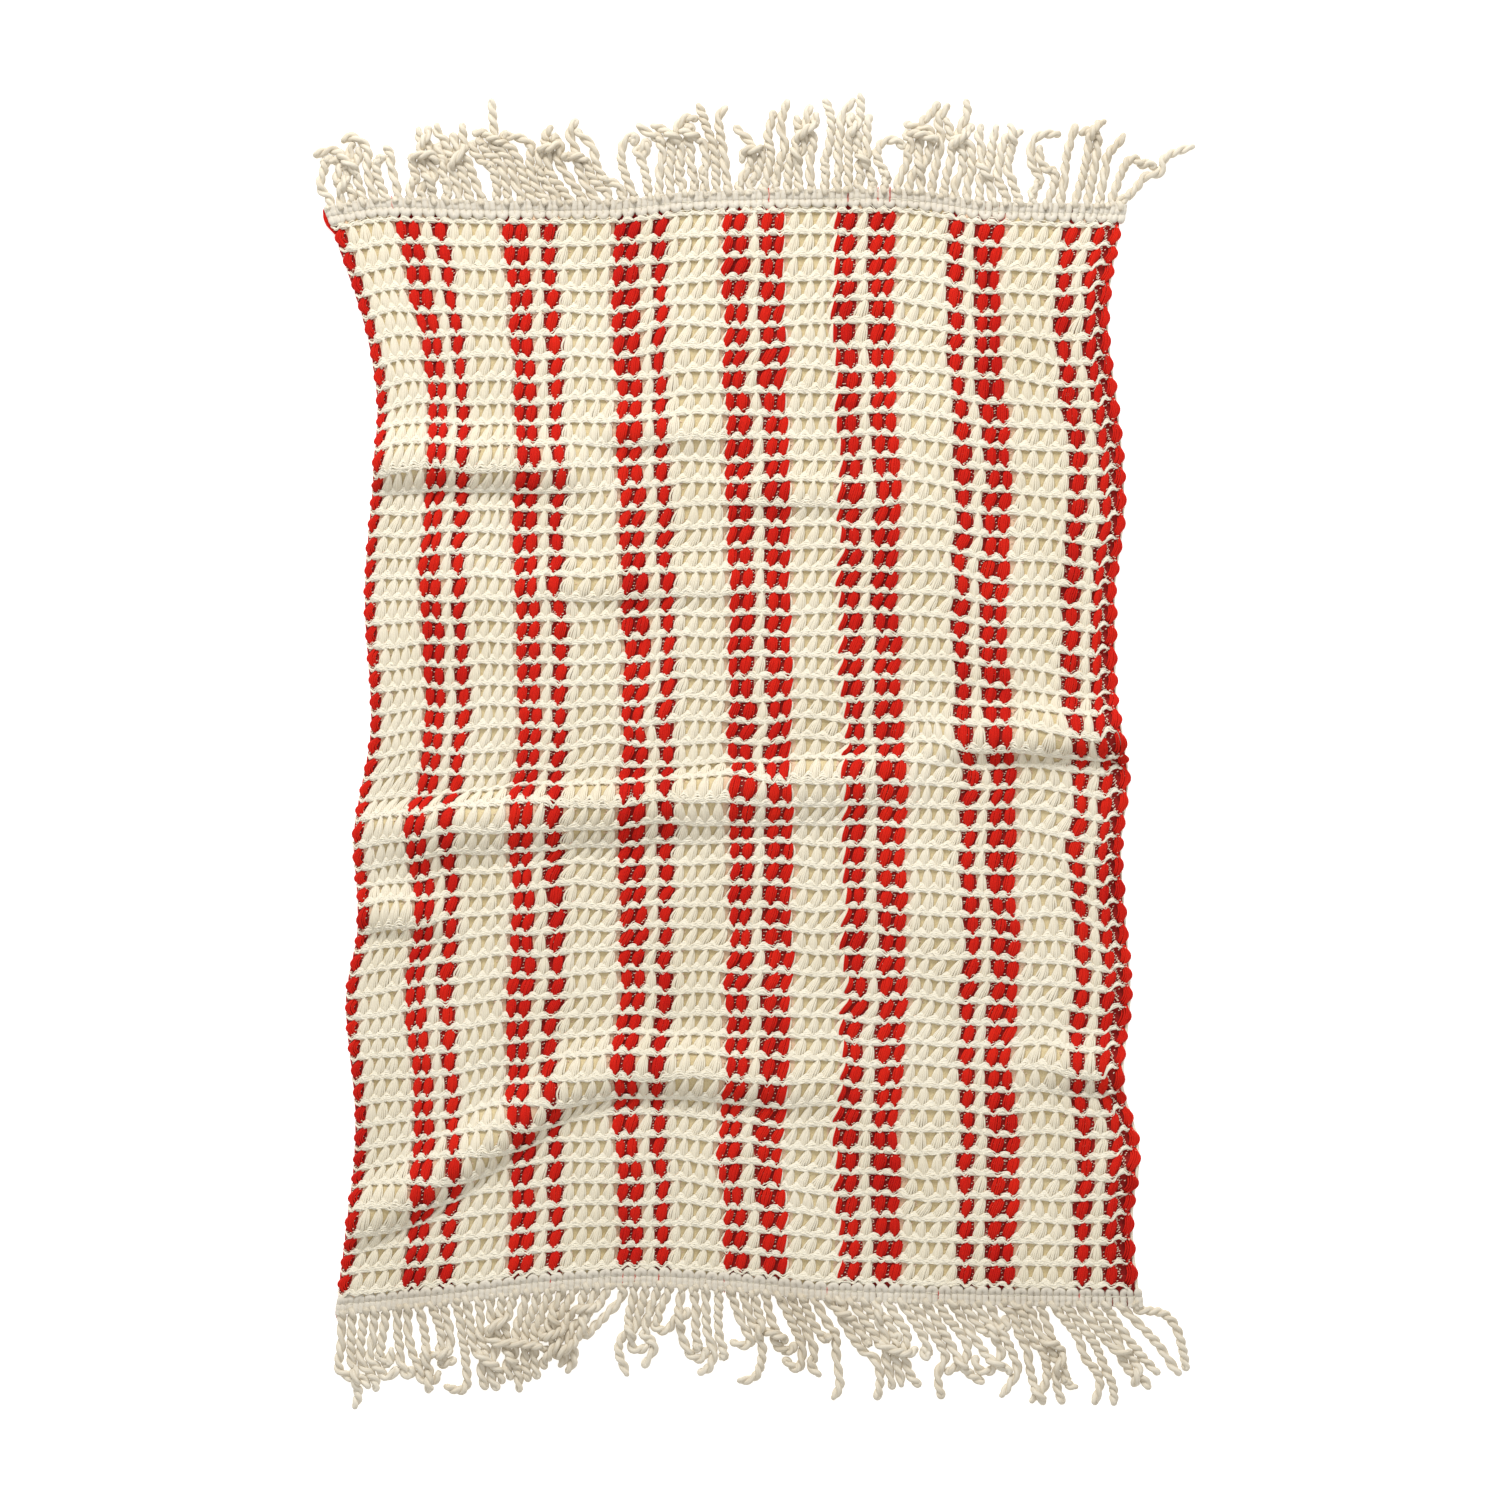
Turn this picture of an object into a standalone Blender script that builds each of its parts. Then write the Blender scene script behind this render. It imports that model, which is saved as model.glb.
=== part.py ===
"""Bath mat: a honeycomb-woven cotton cloth with pairs of red stripes and a corded fringe on both ends.

The cloth lies on the floor with a few soft folds. It is built as lengthwise bands, one for each group of
warp yarns: the red selvedge, the red stripes, the single cream lines between them and the wide cream
blocks. Each end is covered by a corded heading, which a binding thread holds, and whose yarn runs on
into the twisted cords of the fringe.

Frame: +X across the mat, +Y along its stripes, +Z up, origin on the floor under the middle of its box.
"""
import math

import bmesh
import bpy
import numpy as np

# ---------------------------------------------------------------- driving dimensions, in metres
CLOTH_THICK = 0.0056        # from the floor to the top of the ribs
SEAM_THICK = 0.0020         # the cloth where a heading presses it flat
HEADING_DEEP = 0.0110       # a heading, along the mat
HEADING_THICK = 0.0038      # one layer of fringe yarn
CORD_WIDE = 0.0063          # a fringe cord, two plies twisted together
CORD_REACH = {"top": 0.0555, "bottom": 0.053}
THREAD_WIDE = 0.0010
THREAD_INSET = 0.0055       # the binding thread's place, in from the heading's outer edge
GAP = 0.0003                # left between pieces that touch
END_GAP = 0.0010            # left between a heading, whose edge is slightly curved, and the cords
CORNER_SPREAD = {"top": (0.008, 0.026), "bottom": (0.0, 0.028)}   # outwards at the left and right corner
CORD_SWAY = 0.003           # how far the cords between the corners lean, in slow waves
CENTRE_X = -0.0017          # the cloth's own axes in the mat's frame
CENTRE_Y = -0.0002

# ---------------------------------------------------------------- how the warp is laid out, in floats
SELVEDGE_FLOATS = 1.0
FIRST_BLOCK_FLOATS = 4.125
STRIPE_FLOATS = 1.75
LINE_FLOATS = 0.75          # the cream line inside a pair of stripes
BLOCK_FLOATS = 23.0 / 6.0   # the cream block between two pairs
LAST_EDGE_FLOATS = 0.375
PAIRS = 7
PAIR_FLOATS = 2 * STRIPE_FLOATS + LINE_FLOATS
CLOTH_FLOATS = (SELVEDGE_FLOATS + FIRST_BLOCK_FLOATS + PAIRS * PAIR_FLOATS
                + (PAIRS - 1) * BLOCK_FLOATS + LAST_EDGE_FLOATS)

# ---------------------------------------------------------------- where the cloth lies
# The lines that the warp follows, from the top of the mat to its bottom, as (y, x).
LEFT_EDGE = [(0.345, -0.267), (0.300, -0.250), (0.255, -0.237), (0.215, -0.232), (0.095, -0.240),
             (0.020, -0.236), (-0.060, -0.247), (-0.105, -0.244), (-0.160, -0.252), (-0.235, -0.246),
             (-0.360, -0.259)]
FIRST_PAIR = [(0.345, -0.208), (0.332, -0.205), (0.282, -0.196), (0.231, -0.188), (0.180, -0.1875),
              (0.117, -0.192), (0.054, -0.189), (0.028, -0.1885), (-0.022, -0.194), (-0.048, -0.2005),
              (-0.095, -0.1955), (-0.150, -0.2005), (-0.210, -0.196), (-0.250, -0.1945), (-0.350, -0.202)]
SECOND_PAIR = [(0.345, -0.137), (0.282, -0.1335), (0.180, -0.1295), (0.130, -0.131), (0.054, -0.128),
               (0.003, -0.1285), (-0.048, -0.133), (-0.110, -0.131), (-0.200, -0.135), (-0.270, -0.131),
               (-0.345, -0.1335)]
THIRD_PAIR = [(0.345, -0.0635), (0.307, -0.066), (0.206, -0.0645), (0.130, -0.0615), (0.066, -0.0595),
              (-0.022, -0.0615), (-0.149, -0.0615), (-0.200, -0.067), (-0.250, -0.0655), (-0.290, -0.0625),
              (-0.340, -0.0645)]
FOURTH_PAIR = [(0.350, 0.005), (0.231, 0.0065), (0.155, 0.0085), (0.054, 0.0095), (-0.048, 0.0095),
               (-0.149, 0.0075), (-0.200, 0.0065), (-0.250, 0.0015), (-0.300, 0.005), (-0.345, 0.0075)]
FIFTH_PAIR = [(0.350, 0.0765), (0.282, 0.0755), (0.155, 0.0795), (0.104, 0.078), (0.028, 0.081),
              (-0.048, 0.082), (-0.123, 0.0825), (-0.199, 0.081), (-0.250, 0.0765), (-0.300, 0.0795),
              (-0.345, 0.0785)]
SIXTH_PAIR = [(0.350, 0.146), (0.282, 0.144), (0.231, 0.1465), (0.168, 0.1505), (0.092, 0.148),
              (0.028, 0.150), (-0.022, 0.154), (-0.060, 0.1525), (-0.123, 0.1555), (-0.200, 0.1515),
              (-0.250, 0.154), (-0.300, 0.152), (-0.345, 0.152)]
SEVENTH_PAIR = [(0.345, 0.224), (0.332, 0.221), (0.290, 0.214), (0.256, 0.2145), (0.200, 0.222),
                (0.155, 0.224), (0.079, 0.218), (0.028, 0.219), (-0.022, 0.2255), (-0.070, 0.222),
                (-0.130, 0.2265), (-0.199, 0.223), (-0.260, 0.230), (-0.300, 0.2265), (-0.345, 0.2265)]
RIGHT_EDGE = [(0.345, 0.2405), (0.270, 0.2305), (0.215, 0.237), (0.158, 0.241), (0.095, 0.235),
              (0.030, 0.236), (-0.016, 0.2437), (-0.063, 0.239), (-0.158, 0.245), (-0.205, 0.239),
              (-0.253, 0.250), (-0.300, 0.246), (-0.350, 0.251)]
# each guide line, with its place in floats from the left edge
GUIDES = [(0.0, LEFT_EDGE), (7.125, FIRST_PAIR), (15.125, SECOND_PAIR), (23.125, THIRD_PAIR),
          (31.5, FOURTH_PAIR), (39.7, FIFTH_PAIR), (47.875, SIXTH_PAIR), (55.95, SEVENTH_PAIR),
          (CLOTH_FLOATS, RIGHT_EDGE)]
TOP_END = [(0.0, 0.343), (0.09, 0.349), (0.215, 0.347), (0.34, 0.347), (0.46, 0.3525), (0.58, 0.354),
           (0.71, 0.3545), (0.776, 0.3513), (0.84, 0.3465), (1.0, 0.3445)]
BOTTOM_END = [(0.0, -0.357), (0.14, -0.3505), (0.27, -0.3425), (0.39, -0.3388), (0.51, -0.342),
              (0.64, -0.348), (0.82, -0.3505), (1.0, -0.352)]
# Each fold: its crest as (x, y, height), then how far it reaches below and above the crest.
FOLDS = {
    "left_upper": ([(-0.290, 0.180, 0.010), (-0.174, 0.180, 0.010), (-0.117, 0.177, 0.005),
                    (-0.090, 0.176, 0.0)], 0.020, 0.034),
    "upper": ([(-0.111, 0.201, 0.0), (-0.060, 0.200, 0.004), (0.0095, 0.196, 0.0)], 0.014, 0.024),
    "centre": ([(-0.035, 0.158, 0.0), (0.035, 0.160, 0.0035), (0.104, 0.160, 0.0)], 0.014, 0.024),
    "middle": ([(-0.168, 0.101, 0.0), (-0.079, 0.1025, 0.0035), (0.035, 0.104, 0.0)], 0.014, 0.024),
    "long": ([(-0.290, -0.052, 0.002), (-0.253, -0.051, 0.003), (-0.193, -0.0455, 0.010),
              (-0.131, -0.0375, 0.011), (-0.060, -0.0325, 0.011), (0.0095, -0.0235, 0.009),
              (0.085, -0.0145, 0.006), (0.136, -0.0075, 0.0)], 0.034, 0.018),
    "right_middle": ([(0.098, 0.0015, 0.0), (0.161, 0.0056, 0.008), (0.2405, 0.0077, 0.012),
                      (0.290, 0.008, 0.012)], 0.015, 0.030),
    "left_lower": ([(-0.290, -0.1025, 0.005), (-0.218, -0.1045, 0.006), (-0.168, -0.111, 0.0)],
                   0.016, 0.020),
    "diagonal": ([(-0.290, -0.303, 0.004), (-0.253, -0.299, 0.006), (-0.206, -0.2785, 0.010),
                  (-0.1425, -0.2355, 0.010), (-0.098, -0.2076, 0.010), (-0.060, -0.2026, 0.011),
                  (0.0095, -0.209, 0.007), (0.073, -0.215, 0.0)], 0.022, 0.032),
    "right_lower": ([(0.168, -0.201, 0.0), (0.209, -0.201, 0.008), (0.247, -0.2026, 0.010),
                     (0.290, -0.203, 0.010)], 0.019, 0.026),
    "right_bottom": ([(0.218, -0.267, 0.0), (0.250, -0.266, 0.006), (0.290, -0.266, 0.006)],
                     0.016, 0.018),
}

# ---------------------------------------------------------------- how finely the pieces are cut
BAND_ROWS = 36
HEADING_STATIONS = 22
ARC_STEPS = 500
BUNCHES = 11
CORDS_IN_BUNCH = 6
ROOT_DEEP = 0.0025          # the bar that holds a bunch's cords together at the heading
COLOURS = {                 # base colour, roughness
    "red_cotton": ((0.60, 0.012, 0.014, 1.0), 0.90),
    "cream_cotton": ((0.86, 0.79, 0.64, 1.0), 0.92),
    "fringe_cotton": ((0.70, 0.63, 0.50, 1.0), 0.92),
    "binding_thread": ((0.78, 0.72, 0.60, 1.0), 0.85),
}


def smooth_curve(points, at):
    """Read a smooth curve through (position, value) points; it never overshoots between two of them."""
    places, values = np.array(sorted(points), dtype=float).T
    steps = np.diff(places)
    slopes = np.diff(values) / steps
    tangents = np.zeros(len(places))
    same_way = slopes[:-1] * slopes[1:] > 0
    tangents[1:-1][same_way] = 2.0 / (1.0 / slopes[:-1][same_way] + 1.0 / slopes[1:][same_way])
    tangents[0], tangents[-1] = slopes[0], slopes[-1]
    at = np.clip(np.asarray(at, dtype=float), places[0], places[-1])
    i = np.clip(np.searchsorted(places, at, side="right") - 1, 0, len(steps) - 1)
    t = (at - places[i]) / steps[i]
    stay = (1 + 2 * t) * (1 - t) ** 2 * values[i] + t * t * (3 - 2 * t) * values[i + 1]
    turn = t * (1 - t) ** 2 * tangents[i] - t * t * (1 - t) * tangents[i + 1]
    return stay + turn * steps[i]


def lift(x, y):
    """How high the folds raise the cloth off the floor at a point."""
    height = np.zeros(np.broadcast(x, y).shape)
    for crest, below, above in FOLDS.values():
        crest_y = smooth_curve([(px, py) for px, py, _ in crest], x)
        crest_height = smooth_curve([(px, h) for px, _, h in crest], x)
        away = y - crest_y
        share = np.clip(np.where(away < 0.0, -away / below, away / above), 0.0, 1.0)
        height = height + crest_height * np.cos(share * math.pi / 2) ** 2
    return height


def warp_x(across, y):
    """The x of a warp yarn, given by its share of the width, where it passes y."""
    place = across * CLOTH_FLOATS
    for (start, before), (stop, after) in zip(GUIDES[:-1], GUIDES[1:]):
        if place <= stop:
            break
    t = (place - start) / (stop - start)
    return smooth_curve(before, y) * (1 - t) + smooth_curve(after, y) * t


def warp_path(across, lengths):
    """Points along one warp yarn, at shares of its length from the mat's bottom end to its top."""
    y = np.linspace(smooth_curve(BOTTOM_END, across), smooth_curve(TOP_END, across), ARC_STEPS)
    x = warp_x(across, y)
    z = lift(x, y)
    run = np.concatenate([[0.0], np.cumsum(np.sqrt(np.diff(y) ** 2 + np.diff(z) ** 2))])
    wanted = np.asarray(lengths) * run[-1]
    return np.interp(wanted, run, x), np.interp(wanted, run, y), np.interp(wanted, run, z)


def cloth_rows():
    """The rows that every band is cut at, as (share of the length, thickness)."""
    length = TOP_END[3][1] - BOTTOM_END[3][1]
    under = (HEADING_DEEP - GAP) / length
    clear = (HEADING_DEEP + 3 * GAP) / length
    rows = [(0.0, SEAM_THICK), (under, SEAM_THICK)]
    rows += [(share, CLOTH_THICK) for share in np.linspace(clear, 1 - clear, BAND_ROWS)]
    return rows + [(1 - under, SEAM_THICK), (1.0, SEAM_THICK)]


def strip_object(name, rings, material):
    """A closed strip through rings of four corners: low left, low right, high right, high left."""
    verts = [corner for ring in rings for corner in ring]
    faces = [(0, 1, 2, 3)]
    for r in range(len(rings) - 1):
        a, b = 4 * r, 4 * r + 4
        faces += [(a + k, b + k, b + (k + 1) % 4, a + (k + 1) % 4) for k in range(4)]
    last = 4 * (len(rings) - 1)
    faces.append((last + 3, last + 2, last + 1, last))
    return closed_object(name, verts, faces, material)


def closed_object(name, verts, faces, material):
    """An object from points in the cloth's axes, with its faces turned outwards."""
    mesh = bpy.data.meshes.new(name)
    mesh.from_pydata([(x + CENTRE_X, y + CENTRE_Y, z) for x, y, z in verts], [], faces)
    shape = bmesh.new()
    shape.from_mesh(mesh)
    bmesh.ops.recalc_face_normals(shape, faces=shape.faces)
    shape.to_mesh(mesh)
    shape.free()
    mesh.materials.append(material)
    obj = bpy.data.objects.new(name, mesh)
    bpy.context.collection.objects.link(obj)
    return obj


def band(name, start, stop, material):
    """One lengthwise band of the cloth, between two places counted in floats from the left edge."""
    rows = cloth_rows()
    shares = [share for share, _ in rows]
    left = warp_path(start / CLOTH_FLOATS, shares)
    right = warp_path(stop / CLOTH_FLOATS, shares)
    rings = []
    for r, (_, thick) in enumerate(rows):
        xl, yl, zl = (float(values[r]) for values in left)
        xr, yr, zr = (float(values[r]) for values in right)
        xl, xr = xl + GAP / 2, xr - GAP / 2
        rings.append([(xl, yl, zl), (xr, yr, zr), (xr, yr, zr + thick), (xl, yl, zl + thick)])
    return strip_object(name, rings, material)


def end_point(end, across, inset):
    """A point on the cloth near one of its ends, with the height of the cloth's underside."""
    edge = float(smooth_curve(TOP_END if end == "top" else BOTTOM_END, across))
    y = edge - inset if end == "top" else edge + inset
    x = float(warp_x(across, y))
    return x, y, float(lift(x, y))


def heading_strip(name, end, outer, inner, low, high, material):
    """A strip along one end of the mat, between two distances in from the edge and two heights."""
    rings = []
    for station in np.linspace(0.0, 1.0, HEADING_STATIONS + 1):
        xo, yo, zo = end_point(end, station, outer)
        xi, yi, zi = end_point(end, station, inner)
        rings.append([(xo, yo, zo + low), (xi, yi, zi + low), (xi, yi, zi + high), (xo, yo, zo + high)])
    return strip_object(name, rings, material)


def cord_lean(end, across):
    """How far a cord's tip leans sideways: outwards at the corners, in slow waves between them."""
    off_middle = 2 * across - 1
    spread = CORNER_SPREAD[end][0 if off_middle < 0 else 1]
    wave = math.sin(2 * math.pi * (2.5 * across + (0.2 if end == "top" else 0.6)))
    return spread * off_middle ** 5 + CORD_SWAY * wave


def cord_outline(end, across):
    """One cord seen from above: up its left side, round its tip and down its right side."""
    x0, y0, _ = end_point(end, across, -END_GAP)
    way = 1.0 if end == "top" else -1.0
    reach, lean = CORD_REACH[end] - END_GAP, cord_lean(end, across)
    half = CORD_WIDE / 2

    def centre(t):
        return x0 + lean * t * t, y0 + way * reach * t

    body = [centre(ROOT_DEEP / reach), centre(0.55), centre(1.0 - half / reach)]
    tip_x, tip_y = body[-1]
    tip = [(tip_x + half * math.cos(a), tip_y + way * half * math.sin(a))
           for a in (0.75 * math.pi, 0.5 * math.pi, 0.25 * math.pi)]
    left = [(x - half, y) for x, y in body]
    right = [(x + half, y) for x, y in reversed(body)]
    return left + tip + right


def fringe_bunch(name, end, first, material):
    """A few neighbouring cords, joined at the heading by the yarn that runs from one to the next."""
    count = BUNCHES * CORDS_IN_BUNCH
    shares = [(first + k + 0.5) / count for k in range(CORDS_IN_BUNCH)]
    outline = [point for share in shares for point in cord_outline(end, share)]
    roots = []
    for k, share in enumerate(shares):
        x, y, _ = end_point(end, share, -END_GAP)
        side = {0: -1, CORDS_IN_BUNCH - 1: 1}.get(k, 0)
        roots.append((x + side * CORD_WIDE / 2, y))
    outline += reversed(roots)
    shape = bmesh.new()
    face = shape.faces.new([shape.verts.new((x, y, 0.0)) for x, y in outline])
    grown = bmesh.ops.extrude_face_region(shape, geom=[face])
    raised = [item for item in grown["geom"] if isinstance(item, bmesh.types.BMVert)]
    bmesh.ops.translate(shape, verts=raised, vec=(0.0, 0.0, CORD_WIDE))
    verts = [tuple(vert.co) for vert in shape.verts]
    shape.verts.index_update()
    faces = [[vert.index for vert in side.verts] for side in shape.faces]
    shape.free()
    return closed_object(name, verts, faces, material)


def cloth_bands(materials):
    """The whole cloth, from its left edge to its right edge."""
    red, cream = materials["red_cotton"], materials["cream_cotton"]
    layout = [("left_selvedge_red", SELVEDGE_FLOATS, red), ("cream_block_1", FIRST_BLOCK_FLOATS, cream)]
    for pair in range(1, PAIRS + 1):
        layout += [(f"stripe_{pair}_left", STRIPE_FLOATS, red), (f"cream_line_{pair}", LINE_FLOATS, cream),
                   (f"stripe_{pair}_right", STRIPE_FLOATS, red)]
        if pair < PAIRS:
            layout.append((f"cream_block_{pair + 1}", BLOCK_FLOATS, cream))
    layout.append(("right_selvedge_cream", LAST_EDGE_FLOATS, cream))
    place, bands = 0.0, []
    for name, floats, material in layout:
        bands.append(band(name, place, place + floats, material))
        place += floats
    return bands


def fringe_end(end, materials):
    """One end's heading, its binding thread and its bunches of cords."""
    low = SEAM_THICK + GAP
    high = low + HEADING_THICK
    thread_low = high + GAP
    pieces = [
        heading_strip(f"{end}_heading", end, 0.0, HEADING_DEEP - 2 * GAP, low, high,
                      materials["fringe_cotton"]),
        heading_strip(f"{end}_binding_thread", end, THREAD_INSET, THREAD_INSET + THREAD_WIDE, thread_low,
                      thread_low + THREAD_WIDE, materials["binding_thread"]),
    ]
    for bunch in range(BUNCHES):
        pieces.append(fringe_bunch(f"{end}_fringe_{bunch + 1:02d}", end, bunch * CORDS_IN_BUNCH,
                                   materials["fringe_cotton"]))
    return pieces


def make_material(name):
    """A plain Principled material in a piece's colour."""
    colour, roughness = COLOURS[name]
    material = bpy.data.materials.new(name)
    material.use_nodes = True
    shader = material.node_tree.nodes["Principled BSDF"]
    shader.inputs["Base Color"].default_value = colour
    shader.inputs["Roughness"].default_value = roughness
    shader.inputs["Metallic"].default_value = 0.0
    return material


def main():
    for obj in list(bpy.data.objects):
        bpy.data.objects.remove(obj, do_unlink=True)
    materials = {name: make_material(name) for name in COLOURS}
    mat_root = bpy.data.objects.new("bath_mat", None)
    bpy.context.collection.objects.link(mat_root)
    pieces = cloth_bands(materials) + fringe_end("top", materials) + fringe_end("bottom", materials)
    for piece in pieces:
        piece.parent = mat_root


main()
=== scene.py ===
"""The looks of the bath mat: its yarns, one by one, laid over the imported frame.

The cloth is a honeycomb weave. Its warp yarns run along the mat in bundles, called floats here, that bulge
between two ribs and dive under each rib. Its weft yarns make the ribs: one pick runs right across, and its
neighbours rise beside it in the gaps between two floats. Small ticks of weft show where a float ends.
Each end of the cloth is covered by a heading of thick yarn, which runs on into the twisted fringe cords.

A place on the cloth is written as (u, r, h): u counts floats from the left edge, r counts ribs from the
bottom end, and h is the height in metres above the cloth's underside.
"""
import math

import bpy
import numpy as np
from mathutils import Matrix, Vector


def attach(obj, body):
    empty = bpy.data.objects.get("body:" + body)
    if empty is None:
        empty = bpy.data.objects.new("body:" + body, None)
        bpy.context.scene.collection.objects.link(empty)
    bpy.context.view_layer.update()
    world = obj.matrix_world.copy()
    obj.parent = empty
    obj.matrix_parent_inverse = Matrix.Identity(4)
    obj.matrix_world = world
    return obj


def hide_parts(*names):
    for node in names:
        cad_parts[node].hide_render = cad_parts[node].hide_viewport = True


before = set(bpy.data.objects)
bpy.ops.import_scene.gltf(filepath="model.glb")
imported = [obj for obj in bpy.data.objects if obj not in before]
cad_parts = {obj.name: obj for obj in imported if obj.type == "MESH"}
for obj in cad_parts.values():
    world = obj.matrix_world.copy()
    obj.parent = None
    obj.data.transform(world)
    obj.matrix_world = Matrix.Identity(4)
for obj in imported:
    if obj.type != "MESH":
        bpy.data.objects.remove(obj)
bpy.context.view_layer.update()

# ---- the cloth, as the frame lays it out
MM = 0.001
CENTRE_X = -0.0017          # the cloth's own axes in the mat's frame
CENTRE_Y = -0.0002
HEADING_DEEP = 0.0110
SEAM_THICK = 0.0020         # the cloth under a heading
SELVEDGE_FLOATS = 1.0
FIRST_BLOCK_FLOATS = 4.125
STRIPE_FLOATS = 1.75
LINE_FLOATS = 0.75
BLOCK_FLOATS = 23.0 / 6.0
LAST_EDGE_FLOATS = 0.375
PAIRS = 7
PAIR_FLOATS = 2 * STRIPE_FLOATS + LINE_FLOATS
CLOTH_FLOATS = (SELVEDGE_FLOATS + FIRST_BLOCK_FLOATS + PAIRS * PAIR_FLOATS
                + (PAIRS - 1) * BLOCK_FLOATS + LAST_EDGE_FLOATS)
FLAT_SIZE = (0.50, 0.70)    # the cloth without its fringe

# The left edge, the middles of the seven pairs of stripes, and the right edge: the place of each in floats
# from the left, and the (y, x) points that it passes, in millimetres.
GUIDES = [
    (0.0, [(345, -267), (300, -250), (255, -237), (215, -232), (95, -240), (20, -236), (-60, -247),
     (-105, -244), (-160, -252), (-235, -246), (-360, -259)]),
    (7.125, [(345, -208), (332, -205), (282, -196), (231, -188), (180, -187.5), (117, -192), (54, -189),
     (28, -188.5), (-22, -194), (-48, -200.5), (-95, -195.5), (-150, -200.5), (-210, -196), (-250, -194.5),
     (-350, -202)]),
    (15.125, [(345, -137), (282, -133.5), (180, -129.5), (130, -131), (54, -128), (3, -128.5), (-48, -133),
     (-110, -131), (-200, -135), (-270, -131), (-345, -133.5)]),
    (23.125, [(345, -63.5), (307, -66), (206, -64.5), (130, -61.5), (66, -59.5), (-22, -61.5),
     (-149, -61.5), (-200, -67), (-250, -65.5), (-290, -62.5), (-340, -64.5)]),
    (31.5, [(350, 5), (231, 6.5), (155, 8.5), (54, 9.5), (-48, 9.5), (-149, 7.5), (-200, 6.5), (-250, 1.5),
     (-300, 5), (-345, 7.5)]),
    (39.7, [(350, 76.5), (282, 75.5), (155, 79.5), (104, 78), (28, 81), (-48, 82), (-123, 82.5), (-199, 81),
     (-250, 76.5), (-300, 79.5), (-345, 78.5)]),
    (47.875, [(350, 146), (282, 144), (231, 146.5), (168, 150.5), (92, 148), (28, 150), (-22, 154),
     (-60, 152.5), (-123, 155.5), (-200, 151.5), (-250, 154), (-300, 152), (-345, 152)]),
    (55.95, [(345, 224), (332, 221), (290, 214), (256, 214.5), (200, 222), (155, 224), (79, 218), (28, 219),
     (-22, 225.5), (-70, 222), (-130, 226.5), (-199, 223), (-260, 230), (-300, 226.5), (-345, 226.5)]),
    (CLOTH_FLOATS, [(345, 240.5), (270, 230.5), (215, 237), (158, 241), (95, 235), (30, 236), (-16, 243.7),
     (-63, 239), (-158, 245), (-205, 239), (-253, 250), (-300, 246), (-350, 251)])]
# the cloth's two ends: share of its width, and y in millimetres
TOP_END = [(0, 343), (0.09, 349), (0.215, 347), (0.34, 347), (0.46, 352.5), (0.58, 354), (0.71, 354.5),
           (0.776, 351.3), (0.84, 346.5), (1, 344.5)]
BOTTOM_END = [(0, -357), (0.14, -350.5), (0.27, -342.5), (0.39, -338.8), (0.51, -342), (0.64, -348),
              (0.82, -350.5), (1, -352)]
# the folds: points (x, y, height) of each crest, and the reach of its two slopes, in millimetres
FOLDS = {
    "left_upper": ([(-290, 180, 10), (-174, 180, 10), (-117, 177, 5), (-90, 176, 0)], 20, 34),
    "upper": ([(-111, 201, 0), (-60, 200, 4), (9.5, 196, 0)], 14, 24),
    "centre": ([(-35, 158, 0), (35, 160, 3.5), (104, 160, 0)], 14, 24),
    "middle": ([(-168, 101, 0), (-79, 102.5, 3.5), (35, 104, 0)], 14, 24),
    "long": ([(-290, -52, 2), (-253, -51, 3), (-193, -45.5, 10), (-131, -37.5, 11), (-60, -32.5, 11),
              (9.5, -23.5, 9), (85, -14.5, 6), (136, -7.5, 0)], 34, 18),
    "right_middle": ([(98, 1.5, 0), (161, 5.6, 8), (240.5, 7.7, 12), (290, 8, 12)], 15, 30),
    "left_lower": ([(-290, -102.5, 5), (-218, -104.5, 6), (-168, -111, 0)], 16, 20),
    "diagonal": ([(-290, -303, 4), (-253, -299, 6), (-206, -278.5, 10), (-142.5, -235.5, 10),
                  (-98, -207.6, 10), (-60, -202.6, 11), (9.5, -209, 7), (73, -215, 0)], 22, 32),
    "right_lower": ([(168, -201, 0), (209, -201, 8), (247, -202.6, 10), (290, -203, 10)], 19, 26),
    "right_bottom": ([(218, -267, 0), (250, -266, 6), (290, -266, 6)], 16, 18),
}

# ---- the weave
RIBS = 50
FIRST_RIB = HEADING_DEEP + 0.0018
ROW_SHARE = (FLAT_SIZE[1] - 2 * FIRST_RIB) / (RIBS - 1) / FLAT_SIZE[1]
ENDS_PER_FLOAT = 8          # warp yarns in one float's width; the outer two lie in the gap
LAST_COLUMN = 57            # the float column along the right edge
FLOAT_WIDE = 0.0086         # a float and a row when the cloth lies flat, in metres
ROW_LONG = 0.0142
YARN = {"red": 0.00070, "cream": 0.00073}      # a warp yarn's radius
BACK_FLOAT_RADIUS = 0.0024
BACK_RIB_RADIUS = 0.0009
FLOOR_GAP = 0.00015         # the lowest that any yarn comes to the floor


def smooth_curve(points, at):
    """Read a smooth curve through (position, value) points; it never overshoots between two of them."""
    places, values = np.array(sorted(points), dtype=float).T
    steps = np.diff(places)
    slopes = np.diff(values) / steps
    tangents = np.zeros(len(places))
    same_way = slopes[:-1] * slopes[1:] > 0
    tangents[1:-1][same_way] = 2.0 / (1.0 / slopes[:-1][same_way] + 1.0 / slopes[1:][same_way])
    tangents[0], tangents[-1] = slopes[0], slopes[-1]
    at = np.clip(np.asarray(at, dtype=float), places[0], places[-1])
    i = np.clip(np.searchsorted(places, at, side="right") - 1, 0, len(steps) - 1)
    t = (at - places[i]) / steps[i]
    stay = (1 + 2 * t) * (1 - t) ** 2 * values[i] + t * t * (3 - 2 * t) * values[i + 1]
    turn = t * (1 - t) ** 2 * tangents[i] - t * t * (1 - t) * tangents[i + 1]
    return stay + turn * steps[i]


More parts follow.
